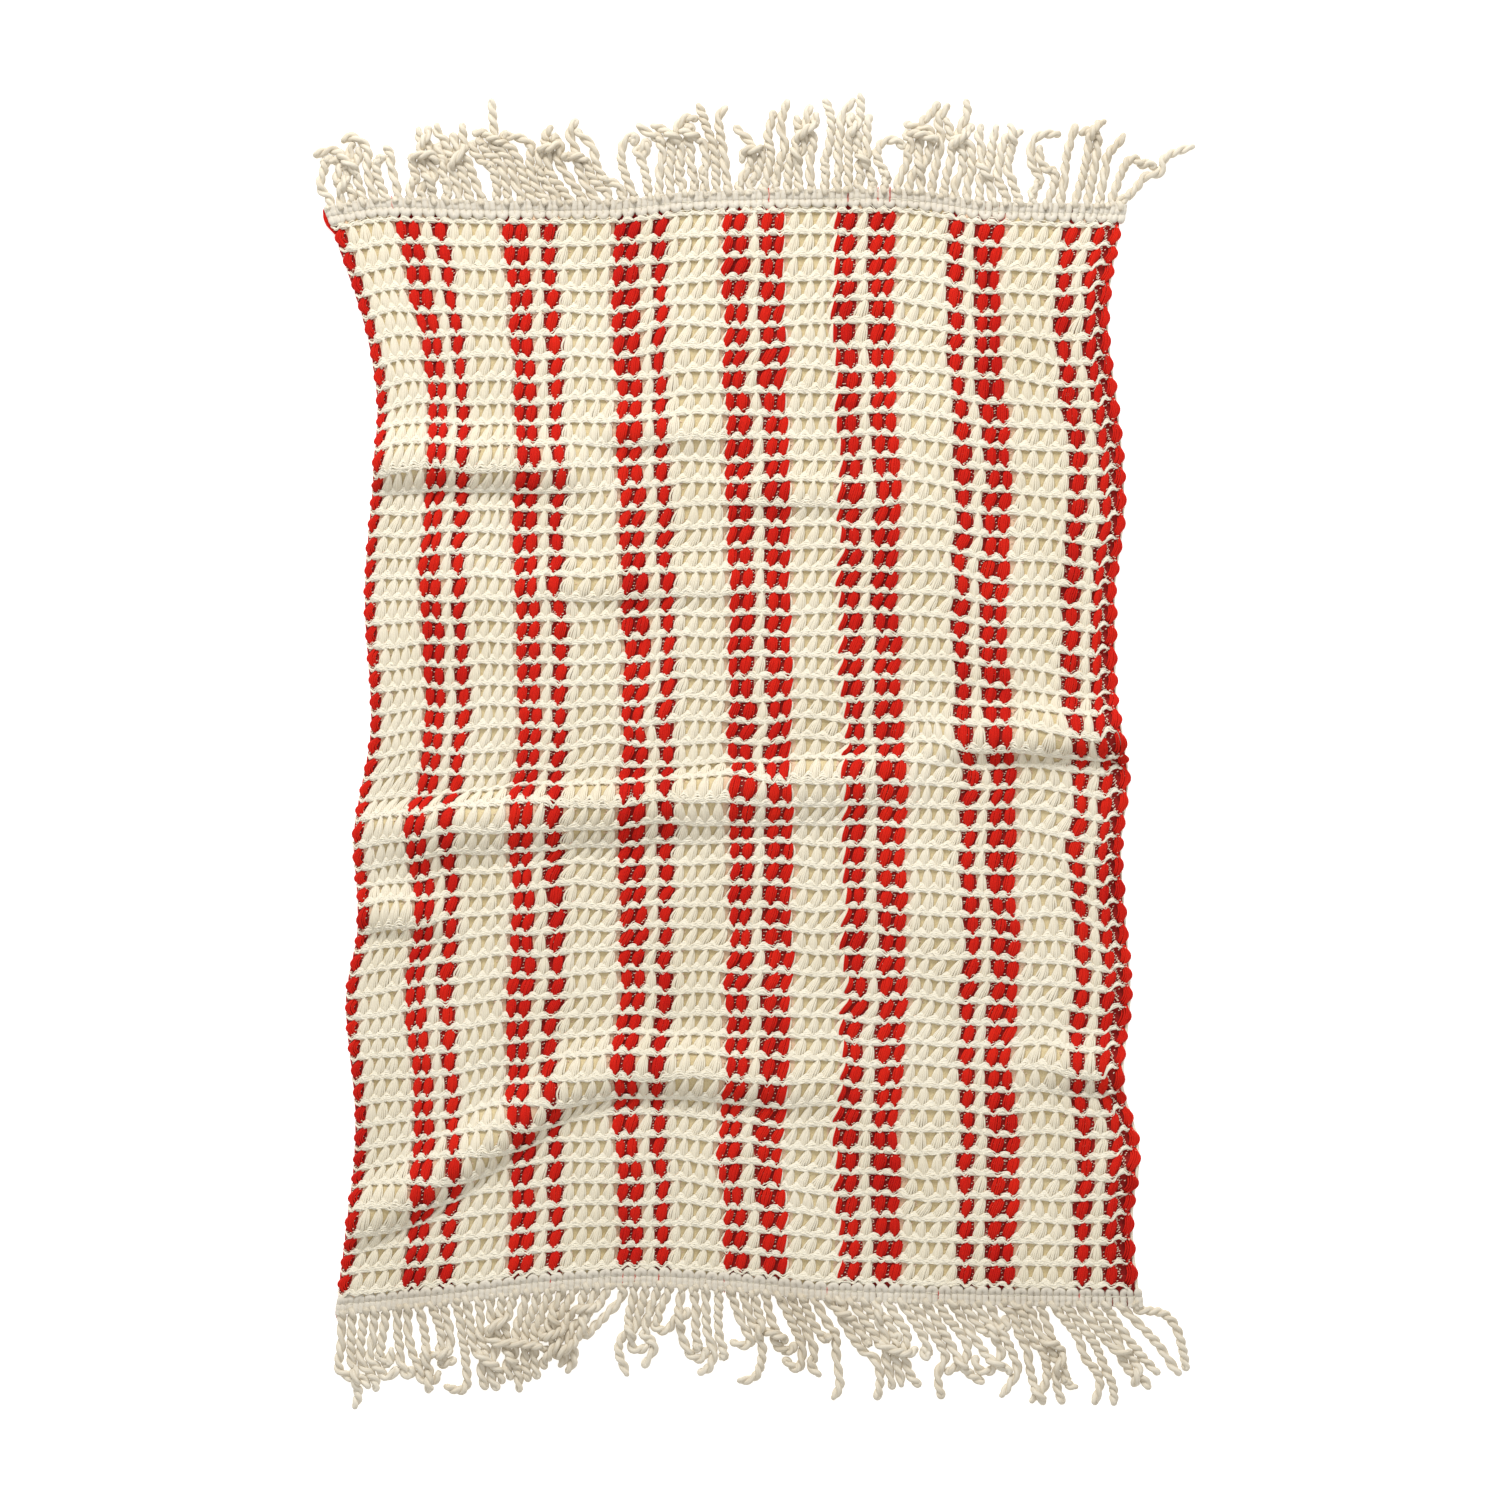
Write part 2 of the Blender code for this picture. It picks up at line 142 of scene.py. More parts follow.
def wave(turns):
    return np.cos(2 * math.pi * turns)


def any_phase(rng):
    """A random angle, for a wave that may start anywhere."""
    return rng.uniform(0, 6.28)


def seeded(first, end):
    """The random numbers of one end of the mat."""
    return np.random.default_rng(first if end == "top" else first + 1)


def travelled(rows):
    """How far each point lies along its row of points."""
    steps = np.linalg.norm(np.diff(rows, axis=1), axis=2)
    return np.concatenate([np.zeros((len(rows), 1)), np.cumsum(steps, axis=1)], axis=1)


def straight_up(points):
    """The way up, for tubes that need no other."""
    return np.zeros_like(points) + (0.0, 0.0, 1.0)


def lift(x, y):
    """How high the folds raise the cloth off the floor at a point."""
    x, y = np.asarray(x) / MM, np.asarray(y) / MM
    height = np.zeros(np.broadcast(x, y).shape)
    for crest, below, above in FOLDS.values():
        crest_y = smooth_curve([(px, py) for px, py, _ in crest], x)
        crest_height = smooth_curve([(px, h) for px, _, h in crest], x)
        away = y - crest_y
        share = np.clip(np.where(away < 0.0, -away / below, away / above), 0.0, 1.0)
        height = height + crest_height * np.cos(share * math.pi / 2) ** 2
    return height * MM


def warp_x(across, y):
    """The x of a warp yarn, given by its share of the width, where it passes y."""
    place = across * CLOTH_FLOATS
    for (start, before), (stop, after) in zip(GUIDES[:-1], GUIDES[1:]):
        if place <= stop:
            break
    t = (place - start) / (stop - start)
    return (smooth_curve(before, y / MM) * (1 - t) + smooth_curve(after, y / MM) * t) * MM


def end_edge(end, across):
    """The y of one end of the cloth at a share of its width."""
    return float(smooth_curve(TOP_END if end == "top" else BOTTOM_END, across)) * MM


def end_point(end, across, inset):
    """A point on the cloth's underside near one of its ends, in the mat's frame."""
    y = end_edge(end, across) + (-inset if end == "top" else inset)
    x = float(warp_x(across, y))
    return x + CENTRE_X, y + CENTRE_Y, float(lift(x, y))


def waves(seed, size, count=14):
    """A smooth random field over the cloth, of about unit height and the given size in metres."""
    rng = np.random.default_rng(seed)
    angles = rng.uniform(0, 2 * math.pi, count)
    speed = rng.uniform(0.6, 1.5, count) * 2 * math.pi / size
    phase = rng.uniform(0, 2 * math.pi, count)

    def field(a, b):
        total = np.zeros(np.broadcast(a, b).shape)
        for k in range(count):
            total += np.cos(speed[k] * (a * math.cos(angles[k]) + b * math.sin(angles[k])) + phase[k])
        return total * math.sqrt(2.0 / count)

    return field


# ---- the surface that all the yarns follow
TABLE_U = np.linspace(0.0, CLOTH_FLOATS, 4 * 59 + 1)
TABLE_V = np.linspace(0.0, 1.0, 901)


def surface_table():
    """The cloth's underside at every table place, and its normal there."""
    undulation = waves(11, 0.16)
    points = np.zeros((len(TABLE_U), len(TABLE_V), 3))
    for i, u in enumerate(TABLE_U):
        across = u / CLOTH_FLOATS
        y = np.linspace(end_edge("bottom", across), end_edge("top", across), 900)
        x = warp_x(across, y)
        z = lift(x, y) + 0.0007 * np.maximum(0.0, undulation(x, y) + 0.2)
        run = np.concatenate([[0.0], np.cumsum(np.sqrt(np.diff(y) ** 2 + np.diff(z) ** 2))])
        wanted = TABLE_V * run[-1]
        for axis, values in enumerate((x, y, z)):
            points[i, :, axis] = np.interp(wanted, run, values)
    points += (CENTRE_X, CENTRE_Y, 0.0)
    along_u = np.gradient(points, TABLE_U, axis=0)
    along_v = np.gradient(points, TABLE_V, axis=1)
    normals = np.cross(along_u, along_v)
    normals /= np.linalg.norm(normals, axis=2, keepdims=True)
    across = along_u / np.linalg.norm(along_u, axis=2, keepdims=True)
    return points, normals, across


SURFACE = surface_table()


def read_table(table, u, v):
    """A value between the table's places."""
    iu = np.clip(u / TABLE_U[-1] * (len(TABLE_U) - 1), 0, len(TABLE_U) - 1.000001)
    iv = np.clip(v * (len(TABLE_V) - 1), 0, len(TABLE_V) - 1.000001)
    a, b = iu.astype(int), iv.astype(int)
    fu, fv = (iu - a)[..., None], (iv - b)[..., None]
    low = table[a, b] * (1 - fv) + table[a, b + 1] * fv
    high = table[a + 1, b] * (1 - fv) + table[a + 1, b + 1] * fv
    return low * (1 - fu) + high * fu


WANDER_U = waves(21, 0.045)
WANDER_R = waves(22, 0.060)
# where the ribs lie further down the mat than their number says: rows, at which rib, reach in ribs, and
# the places in floats where it begins and where it is in full
SLACK = [(0.36, 33.0, 11.0, -2.0, -1.0), (0.30, 14.0, 9.0, 12.0, 0.0), (0.40, 19.0, 12.0, 52.0, 57.0)]
ROLL_FLOATS = 1.3           # how much of the cloth turns down at its left and right edges
ROLL_ANGLE = math.radians(38)
LAST_SLIDE = 0.43           # how far the last column's floats lie up the mat from their neighbours, in rows
CLOTH_MIDDLE = 0.0028       # the height that the cloth turns about


def cloth_point(u, r, h):
    """Points of the cloth and the way up there, from arrays of (u, r, h)."""
    u, r, h = np.broadcast_arrays(np.asarray(u, float), np.asarray(r, float), np.asarray(h, float))
    a, b = u * FLOAT_WIDE, r * ROW_LONG
    calm = np.clip(np.minimum(r, RIBS - 1 - r) / 3.0, 0.0, 1.0)
    slide = np.clip((u - LAST_COLUMN + 1) / 1.5, 0.0, 1.0)
    edge_calm = np.clip(np.minimum(u, CLOTH_FLOATS - u) / 2.0, 0.0, 1.0)
    u2 = u + 0.10 * WANDER_U(a, b) * calm * edge_calm
    r2 = r + 0.055 * WANDER_R(a, b) * calm + LAST_SLIDE * slide * slide * (3 - 2 * slide) * calm
    for rows, middle, reach, begin, full in SLACK:
        share = np.clip((u - begin) / (full - begin), 0.0, 1.0)
        r2 = r2 - rows * np.exp(-((r - middle) / reach) ** 2) * share * calm
    v = np.clip(FIRST_RIB / FLAT_SIZE[1] + r2 * ROW_SHARE, 0.0, 1.0)
    u2 = np.clip(u2, 0.0, CLOTH_FLOATS)
    base, up, across = (read_table(table, u2, v) for table in SURFACE)
    left = np.clip((ROLL_FLOATS - u) / ROLL_FLOATS, 0.0, 1.0)
    right = np.clip((u - CLOTH_FLOATS + ROLL_FLOATS) / ROLL_FLOATS, 0.0, 1.0)
    share = left - right
    turn = share * ROLL_ANGLE
    rise = 0.0014 * np.cos(np.clip(np.minimum(u, CLOTH_FLOATS - u) / 5.0, 0, 1) * math.pi / 2) ** 2
    drop = 0.0026 * share * share
    sine, cosine = np.sin(turn)[..., None], np.cos(turn)[..., None]
    up2 = up * cosine - across * sine
    points = base + up * (CLOTH_MIDDLE + rise - drop)[..., None] + up2 * (h - CLOTH_MIDDLE)[..., None]
    points[..., 2] = np.maximum(points[..., 2], 0.0004)
    return points, up2


# ---- meshes from arrays
def normalised(vectors):
    return vectors / np.maximum(np.linalg.norm(vectors, axis=-1, keepdims=True), 1e-12)


class Yarns:
    """Collects tubes and other faces, and makes one mesh object of them."""

    def __init__(self):
        self.verts, self.faces, self.along, self.count = [], [], [], 0

    def add(self, verts, faces, along=None):
        self.verts.append(verts)
        self.faces += [face + self.count for face in faces]
        self.along.append(np.zeros((len(verts), 3)) if along is None else along)
        self.count += len(verts)

    def tubes(self, centres, ups, radius, sides=5, flat=1.0, carry=False, closed=True):
        """Tubes along rows of centre points. ups is the way up at each point, or at the first if carry."""
        n, rings, _ = centres.shape
        tangent = normalised(np.gradient(centres, axis=1))
        if carry:
            side = np.zeros_like(centres)
            side[:, 0] = normalised(np.cross(tangent[:, 0], ups[:, 0]))
            for k in range(1, rings):
                s = side[:, k - 1]
                s = s - np.sum(s * tangent[:, k], axis=1, keepdims=True) * tangent[:, k]
                side[:, k] = normalised(s)
        else:
            side = normalised(np.cross(tangent, ups))
        over = np.cross(side, tangent)
        radius = np.broadcast_to(radius, (n, rings))[..., None, None]
        angle = np.arange(sides) * 2 * math.pi / sides + math.pi / 2
        ring = (np.cos(angle)[:, None] * side[:, :, None, :]
                + flat * np.sin(angle)[:, None] * over[:, :, None, :])
        verts = centres[:, :, None, :] + radius * ring
        start = (np.arange(n)[:, None, None] * rings + np.arange(rings - 1)[None, :, None]) * sides
        k = np.arange(sides)[None, None, :]
        k2 = (k + 1) % sides
        quads = np.stack([start + k, start + k2, start + sides + k2, start + sides + k], axis=-1)
        faces = [quads.reshape(-1, 4)]
        if closed:
            first = np.arange(n)[:, None] * rings * sides
            faces.append(first + np.arange(sides)[::-1][None, :])
            faces.append(first + (rings - 1) * sides + np.arange(sides)[None, :])
        along = np.stack([np.broadcast_to(travelled(centres)[:, :, None], (n, rings, sides)),
                          np.broadcast_to(np.cos(angle), (n, rings, sides)),
                          np.broadcast_to(np.sin(angle), (n, rings, sides))], axis=-1)
        self.add(verts.reshape(-1, 3), faces, along.reshape(-1, 3))

    def lay(self, u, r, h, radius, **shape):
        """Tubes through rows of places on the cloth, with h in millimetres here."""
        points, ups = cloth_point(u, r, h * MM)
        self.tubes(points, ups, radius, **shape)

    def strand(self, points, radius, **shape):
        """One tube through single points in metres."""
        points = np.array([points])
        self.tubes(points, straight_up(points), radius, **shape)

    def beads(self, centres, ups, ways, half_along, half_wide):
        """Small rounded ticks: each lies along its way, on the side of its up."""
        n = len(centres)
        ways = normalised(ways - np.sum(ways * ups, axis=1, keepdims=True) * ups)
        third = np.cross(ups, ways)
        steps = [(-1.0, 0.0), (-0.55, 0.85), (0.55, 0.85), (1.0, 0.0)]
        verts = [centres + steps[0][0] * half_along * ways]
        for along, wide in steps[1:3]:
            for angle in (0.25, 0.75, 1.25, 1.75):
                verts.append(centres + along * half_along * ways
                             + wide * half_wide * math.cos(angle * math.pi) * third
                             + wide * half_wide * math.sin(angle * math.pi) * ups)
        verts.append(centres + steps[3][0] * half_along * ways)
        verts = np.stack(verts, axis=1)
        first = (np.arange(n) * 10)[:, None]
        tris, quads = [], []
        for k in range(4):
            k2 = (k + 1) % 4
            tris += [first + np.array([0, 1 + k2, 1 + k]), first + np.array([9, 5 + k, 5 + k2])]
            quads.append(first + np.array([1 + k, 1 + k2, 5 + k2, 5 + k]))
        self.add(verts.reshape(-1, 3), [np.concatenate(tris), np.concatenate(quads)])

    def piece(self, name, material, slot, keep_along=False):
        """The mesh object, riding on the root body."""
        verts = np.concatenate(self.verts)
        verts[:, 2] = np.maximum(verts[:, 2], FLOOR_GAP + 0.02 * np.minimum(verts[:, 2], 0.0))
        mesh = bpy.data.meshes.new(name)
        mesh.vertices.add(len(verts))
        mesh.vertices.foreach_set("co", verts.astype(np.float32).ravel())
        loops = np.concatenate([face.ravel() for face in self.faces])
        sizes = np.concatenate([np.full(len(face), face.shape[1]) for face in self.faces])
        mesh.loops.add(len(loops))
        mesh.loops.foreach_set("vertex_index", loops.astype(np.int32))
        mesh.polygons.add(len(sizes))
        starts = np.concatenate([[0], np.cumsum(sizes)[:-1]])
        mesh.polygons.foreach_set("loop_start", starts.astype(np.int32))
        mesh.polygons.foreach_set("use_smooth", np.ones(len(sizes), dtype=bool))
        mesh.update(calc_edges=True)
        if keep_along:
            attribute = mesh.attributes.new("along", "FLOAT_VECTOR", "POINT")
            attribute.data.foreach_set("vector", np.concatenate(self.along).astype(np.float32).ravel())
        mesh.materials.append(material)
        obj = bpy.data.objects.new(name, mesh)
        bpy.context.scene.collection.objects.link(obj)
        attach(obj, "root")
        return obj


# ---- materials
def set_inputs(node, values):
    for socket, value in values.items():
        node.inputs[socket].default_value = value


def cotton(name, dark, light, fibre_scale, bump, along=False):
    """Matt cotton yarn: two tones that vary over the mat and along the fibres, and a fibrous bump."""
    material = bpy.data.materials.new(name)
    material.use_nodes = True
    nodes, links = material.node_tree.nodes, material.node_tree.links

    def node(kind, sockets, **settings):
        """A node with its settings made, and each socket linked or set to a constant."""
        made = nodes.new("ShaderNode" + kind)
        for setting, value in settings.items():
            setattr(made, setting, value)
        for socket, value in sockets.items():
            if isinstance(value, bpy.types.NodeSocket):
                links.new(value, made.inputs[socket])
            else:
                made.inputs[socket].default_value = value
        return made

    place = node("TexCoord", {}).outputs["Object"]
    fibre_place = place
    if along:
        way = node("Attribute", {}, attribute_name="along")
        fibre_place = node("VectorMath", {0: way.outputs["Vector"], 1: (130.0, 1.6, 1.6)},
                           operation="MULTIPLY").outputs["Vector"]
    broad = node("TexNoise", {"Vector": place, "Scale": 14.0, "Detail": 3.0})
    fibres = node("TexNoise", {"Vector": fibre_place, "Scale": fibre_scale, "Detail": 4.0, "Roughness": 0.6})
    part = node("Math", {0: broad.outputs["Fac"], 1: 0.45}, operation="MULTIPLY")
    blend = node("Math", {0: fibres.outputs["Fac"], 1: 0.55, 2: part.outputs["Value"]},
                 operation="MULTIPLY_ADD")
    ramp = node("ValToRGB", {"Fac": blend.outputs["Value"]})
    for element, position, colour in zip(ramp.color_ramp.elements, (0.36, 0.62), (dark, light)):
        element.position = position
        element.color = (*colour, 1.0)
    rough = node("MapRange", {"Value": fibres.outputs["Fac"], "To Min": 0.80, "To Max": 0.98})
    bumps = node("Bump", {"Height": fibres.outputs["Fac"], "Strength": 0.6, "Distance": bump})
    shader = nodes["Principled BSDF"]
    set_inputs(shader, {"Sheen Weight": 0.25, "Sheen Tint": (*light, 1.0), "Sheen Roughness": 0.5,
                        "Specular IOR Level": 0.15})
    links.new(ramp.outputs["Color"], shader.inputs["Base Color"])
    links.new(rough.outputs["Result"], shader.inputs["Roughness"])
    links.new(bumps.outputs["Normal"], shader.inputs["Normal"])
    return material


MATERIALS = {
    "red": cotton("red_warp", (0.46, 0.006, 0.005), (0.74, 0.022, 0.008), 1500.0, 0.0003),
    "cream": cotton("cream_warp", (0.785, 0.71, 0.545), (0.87, 0.80, 0.65), 1500.0, 0.0003),
    "weft": cotton("cream_weft", (0.81, 0.745, 0.595), (0.89, 0.835, 0.70), 1500.0, 0.0003),
    # painted shade: the cream ground's tan stands for the shadow in its recesses between the floats
    "ground_cream_painted_shade": cotton("cream_ground_painted_shade", (0.58, 0.455, 0.235), (0.77, 0.65, 0.40), 1100.0, 0.0005),
    # painted shade: a pinkish tan for the cream ground where it meets the red, darker than the cream yarn
    "ground_edge_painted_shade": cotton("edge_ground_painted_shade", (0.64, 0.42, 0.26), (0.82, 0.62, 0.44), 1100.0, 0.0005),
    # painted shade: the red ground is darker than the red yarn, for the shadow in its recesses
    "ground_red_painted_shade": cotton("red_ground_painted_shade", (0.20, 0.006, 0.006), (0.40, 0.022, 0.016), 1100.0, 0.0005),
    "fringe": cotton("fringe_yarn", (0.60, 0.52, 0.39), (0.80, 0.735, 0.61), 1.0, 0.0005, along=True),
    "heading": cotton("heading_yarn", (0.64, 0.58, 0.48), (0.75, 0.70, 0.60), 1.0, 0.0003, along=True),
    # painted shade: the ticks are weft yarn, coloured darker than the weft and tinted pink
    "tick_painted_shade": cotton("weft_ticks_painted_shade", (0.70, 0.44, 0.31), (0.88, 0.72, 0.58), 1500.0, 0.0003),
    "thread": cotton("sewing_thread", (0.72, 0.66, 0.53), (0.82, 0.77, 0.65), 2500.0, 0.0002),
}


# ---- the weave's pieces
def bands():
    """The lengthwise bands: name, first and last place in floats, and colour."""
    layout = [("left_selvedge_red", SELVEDGE_FLOATS, "red"), ("cream_block_1", FIRST_BLOCK_FLOATS, "cream")]
    for pair in range(1, PAIRS + 1):
        layout += [(f"stripe_{pair}_left", STRIPE_FLOATS, "red"),
                   (f"cream_line_{pair}", LINE_FLOATS, "cream"),
                   (f"stripe_{pair}_right", STRIPE_FLOATS, "red")]
        if pair < PAIRS:
            layout.append((f"cream_block_{pair + 1}", BLOCK_FLOATS, "cream"))
    layout.append(("right_selvedge_cream", LAST_EDGE_FLOATS, "cream"))
    place, found = 0.0, []
    for name, floats, colour in layout:
        found.append((name, place, place + floats, colour))
        place += floats
    return found


BANDS = bands()
LEAN_FIELD = waves(31, 0.14)
ROWS = np.arange(RIBS - 1)
# The red yarns, as first and last number counted from the left edge, eight to a float. A float here or there
# is red on one side only.
RED_YARNS = [(0, 7), (41, 55), (63, 72), (105, 119), (127, 136), (169, 183), (191, 200), (234, 248),
             (255, 269), (300, 312), (319, 334), (367, 376), (383, 398), (431, 440), (447, 463)]
YARNS_WIDE = int(CLOTH_FLOATS * ENDS_PER_FLOAT)


def in_groups(name, total, size, seed, material="weft"):
    """Split rows or ribs into groups. Each group's piece is made when the loop over them comes back."""
    for number, first in enumerate(range(0, total, size)):
        yarns = Yarns()
        yield range(first, min(total, first + size)), yarns, np.random.default_rng(seed + number)
        yarns.piece(f"{name}_{number + 1}", MATERIALS[material], "cream_cotton")


def is_red(yarn):
    return any(first <= yarn <= last for first, last in RED_YARNS)


def yarn_bands():
    """Every yarn's band: the one that it lies in, or the nearest of its own colour."""
    owners = {name: [] for name, *_ in BANDS}
    for yarn in range(YARNS_WIDE):
        place = (yarn + 0.5) / ENDS_PER_FLOAT
        colour = "red" if is_red(yarn) else "cream"
        own = min((band for band in BANDS if band[3] == colour),
                  key=lambda band: max(band[1] - place, place - band[2], 0.0))
        owners[own[0]].append(yarn)
    return owners


def lean(u, r):
    """How far a float's top leans to the right of its foot, in floats."""
    corner = np.clip((12.0 - u) / 12.0, 0, 1) * np.clip((r - 34.0) / 12.0, 0, 1)
    right = np.clip((u - 44.0) / 8.0, 0, 1)
    return (0.150 + 0.035 * LEAN_FIELD(u * FLOAT_WIDE, r * ROW_LONG)) * (1 - 0.40 * right) - 0.12 * corner


# for each yarn of a float, counted out from its middle: half length in rows, height at the middle and end
STRAND_HALF = {0.0625: 0.525, 0.1875: 0.445, 0.3125: 0.36}
STRAND_TOP = {0.0625: 5.0, 0.1875: 4.8, 0.3125: 4.25}
STRAND_END = {0.0625: 3.5, 0.1875: 2.7, 0.3125: 2.5}
FOOT_RAISED = {"red": 0.0, "cream": 0.6}    # how much higher a float's two ends lie
CROWD = {"red": 1.00, "cream": 0.93}        # how far the yarns of a float draw together
FAN = {"red": 0.0, "cream": 0.44}           # how far they spread from the float's top to its foot
SWING = {"red": 0.02, "cream": 0.035}       # how far a float swings aside between its ends, in floats
SELVEDGE_YARN = 464         # from here to the right edge the yarns run straight through
# cream yarns that hang loose beside a red stripe, with how far they swing out, in floats
LOOSE_YARNS = {73: -0.10, 74: -0.04, 137: -0.12, 138: -0.05, 201: -0.13, 202: -0.06, 203: -0.02,
               233: -0.05, 270: 0.05}


def warp_strands(yarns, owned, colour, rng):
    """The floats of one band, yarn by yarn."""
    t = np.linspace(-1, 1, 8)
    for end in owned:
        column, k = divmod(end, ENDS_PER_FLOAT)
        offset = (k + 0.5) / ENDS_PER_FLOAT - 0.5
        key = round(abs(offset), 4)
        if end >= SELVEDGE_YARN:
            selvedge_yarn(yarns, end)
            continue
        if key not in STRAND_HALF:
            continue
        rows = ROWS + 0.5
        tilt = lean(column + 0.5, rows)[:, None]
        jitter = rng.normal(0, 0.012, (len(rows), 1))
        outward = {0: -1.0, LAST_COLUMN: 1.0}.get(column, 0.0)
        half = STRAND_HALF[key] * {-1.0: 0.80, 1.0: 0.98}.get(outward, 1.0)
        loose = LOOSE_YARNS.get(end, 0.0) * (1 - t * t) * rng.uniform(0.6, 1.2, (len(rows), 1))
        swing = SWING[colour] * tilt / 0.14 * np.sin(math.pi * t * half / STRAND_HALF[0.0625])
        crowd = 1.10 if colour == "cream" and column < 6 else CROWD[colour]
        fan = (1 - 0.22 * t * t) * (1 - FAN[colour] * t)
        u = column + 0.5 + offset * crowd * fan + tilt * t * half / 0.5
        u = u + swing + jitter + loose + (0.15 if outward < 0 else 0.09) * outward * (1 - 2 * t * t)
        u = u + 0.22 * (outward > 0)
        r = rows[:, None] + t[None, :] * half + rng.normal(0, 0.008, (len(rows), 1))
        top = STRAND_TOP[key] + rng.normal(0, 0.10, (len(rows), 1))
        foot = STRAND_END[key] + FOOT_RAISED[colour]
        h = foot + (top - foot) * (1 - np.abs(t) ** 2.4)
        radius = YARN[colour] * (1.0 - 0.18 * np.abs(t) ** 3) * rng.uniform(0.93, 1.07, (len(rows), 1))
        yarns.lay(u, r, h, radius)


def selvedge_yarn(yarns, end):
    """A yarn of the right edge, which winds in and out between the turns of the weft."""
    r = np.linspace(-0.9, RIBS - 0.1, 8 * RIBS)[None, :]
    number = end - SELVEDGE_YARN
    low = np.clip((17.0 - r) / 5.0, 0.0, 1.0)
    u = (SELVEDGE_YARN / ENDS_PER_FLOAT - 0.25 + 0.31 * low + (0.05 + 0.06 * low) * number
         + 0.05 * wave(r - 0.43))
    h = 1.7 + 0.9 * low * (number == 0) + 0.5 * np.cos(2 * math.pi * r + 1.0)
    yarns.lay(u, r, h, 0.00062 + 0.00023 * low, sides=6)


def back_floats(yarns, start, stop):
    """The floats on the underside, which lie under the gaps of the upper side."""
    t = np.linspace(-1, 1, 5)
    for column in range(int(math.ceil(start)), int(math.ceil(stop))):
        rows = np.arange(1, RIBS - 1)
        u = np.full((len(rows), len(t)), float(column)) + 0.1 * t
        r = rows[:, None] + 0.46 * t[None, :]
        h = 0.9 + 0.5 * np.abs(t) ** 2.4
        yarns.lay(u, r, h[None, :], BACK_FLOAT_RADIUS * (1 - 0.4 * t * t)[None, :], sides=6, flat=0.32)


def warp_pieces():
    """The warp of every band, on both sides of the cloth."""
    owners = yarn_bands()
    for number, (name, start, stop, colour) in enumerate(BANDS):
        yarns = Yarns()
        warp_strands(yarns, owners[name], colour, np.random.default_rng(100 + number))
        back_floats(yarns, start, stop)
        piece = yarns.piece(f"warp_{name}", MATERIALS[colour], f"{colour}_cotton")
        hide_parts(name)


def cream_runs():
    """Where the cream cloth starts and stops between the red yarns, in floats."""
    edges = [(last + 1, after) for (_, last), (after, _) in zip(RED_YARNS[:-1], RED_YARNS[1:])]
    return [(start / ENDS_PER_FLOAT, stop / ENDS_PER_FLOAT) for start, stop in edges]


def waviness():
    """How strongly the ribs wave across the cloth: fully over the red yarns, little over the cream."""
    places, values = [0.0], [1.0]
    for start, stop in cream_runs():
        places += [start - 0.2, start + 0.3, stop - 0.3, stop + 0.2]
        values += [1.0, 0.25, 0.25, 1.0]
    return np.array(places), np.array(values)


WAVINESS = waviness()


def rib_wave(u, rib):
    """How far a rib bends along the mat, in rows: it bows out in each gap and dips over each float."""
    tilt = lean(u, np.full_like(u, float(rib)))
    wavy = np.interp(u, *WAVINESS)
    return wavy * (0.092 * wave(u) - 0.20 * tilt * np.sin(2 * math.pi * u))


def rib_pieces():
    """The weft of the ribs: the pick that runs right across and the picks that rise beside it."""
    for group, yarns, rng in in_groups("weft_ribs", RIBS, size=6, seed=300):
        for rib in group:
            u = np.linspace(0.02, CLOTH_FLOATS - 0.58, int(CLOTH_FLOATS * 9))[None, :]
            edge = np.clip(1 - np.minimum(u, u[0, -1] - u) / 0.35, 0, 1)
            h = 4.45 + 0.75 * np.cos(math.pi * u) ** 2 - 2.2 * edge ** 2
            yarns.lay(u, rib + rib_wave(u, rib), h, LONG_PICK_RADIUS, sides=6)
            knuckles(yarns, rib, rng)


LONG_PICK_RADIUS = 0.00070
# the strays of a rib: place beside the long pick in rows, and height
STRAYS = [(-0.035, 5.35), (0.075, 5.20)]
STRAY_RADIUS = 0.00034
# the short picks of a knuckle: place beside the long pick in rows, half length in floats, height, radius
RED_PICKS = [(0.062, 0.34, 5.05, 0.00074), (-0.064, 0.41, 5.15, 0.00080), (-0.130, 0.37, 4.90, 0.00078),
             (-0.188, 0.26, 4.30, 0.00064)]
# beside the right edge's floats they make one small knot
LAST_PICKS = [(0.045, 0.26, 5.00, 0.00074), (-0.070, 0.30, 5.05, 0.00078)]
# in the cream cloth they climb the slope above the rib
CREAM_PICKS = [(0.200, 0.35, 4.35, 0.00072), (0.262, 0.27, 3.85, 0.00068), (-0.118, 0.36, 4.75, 0.00072)]
# and these run on over the floats' feet: place beside the long pick in rows, height, radius, wave in rows
CREAM_RUNS = [(-0.064, 4.75, 0.00076, 0.026), (0.066, 4.70, 0.00078, 0.034), (0.140, 4.40, 0.00076, 0.046)]


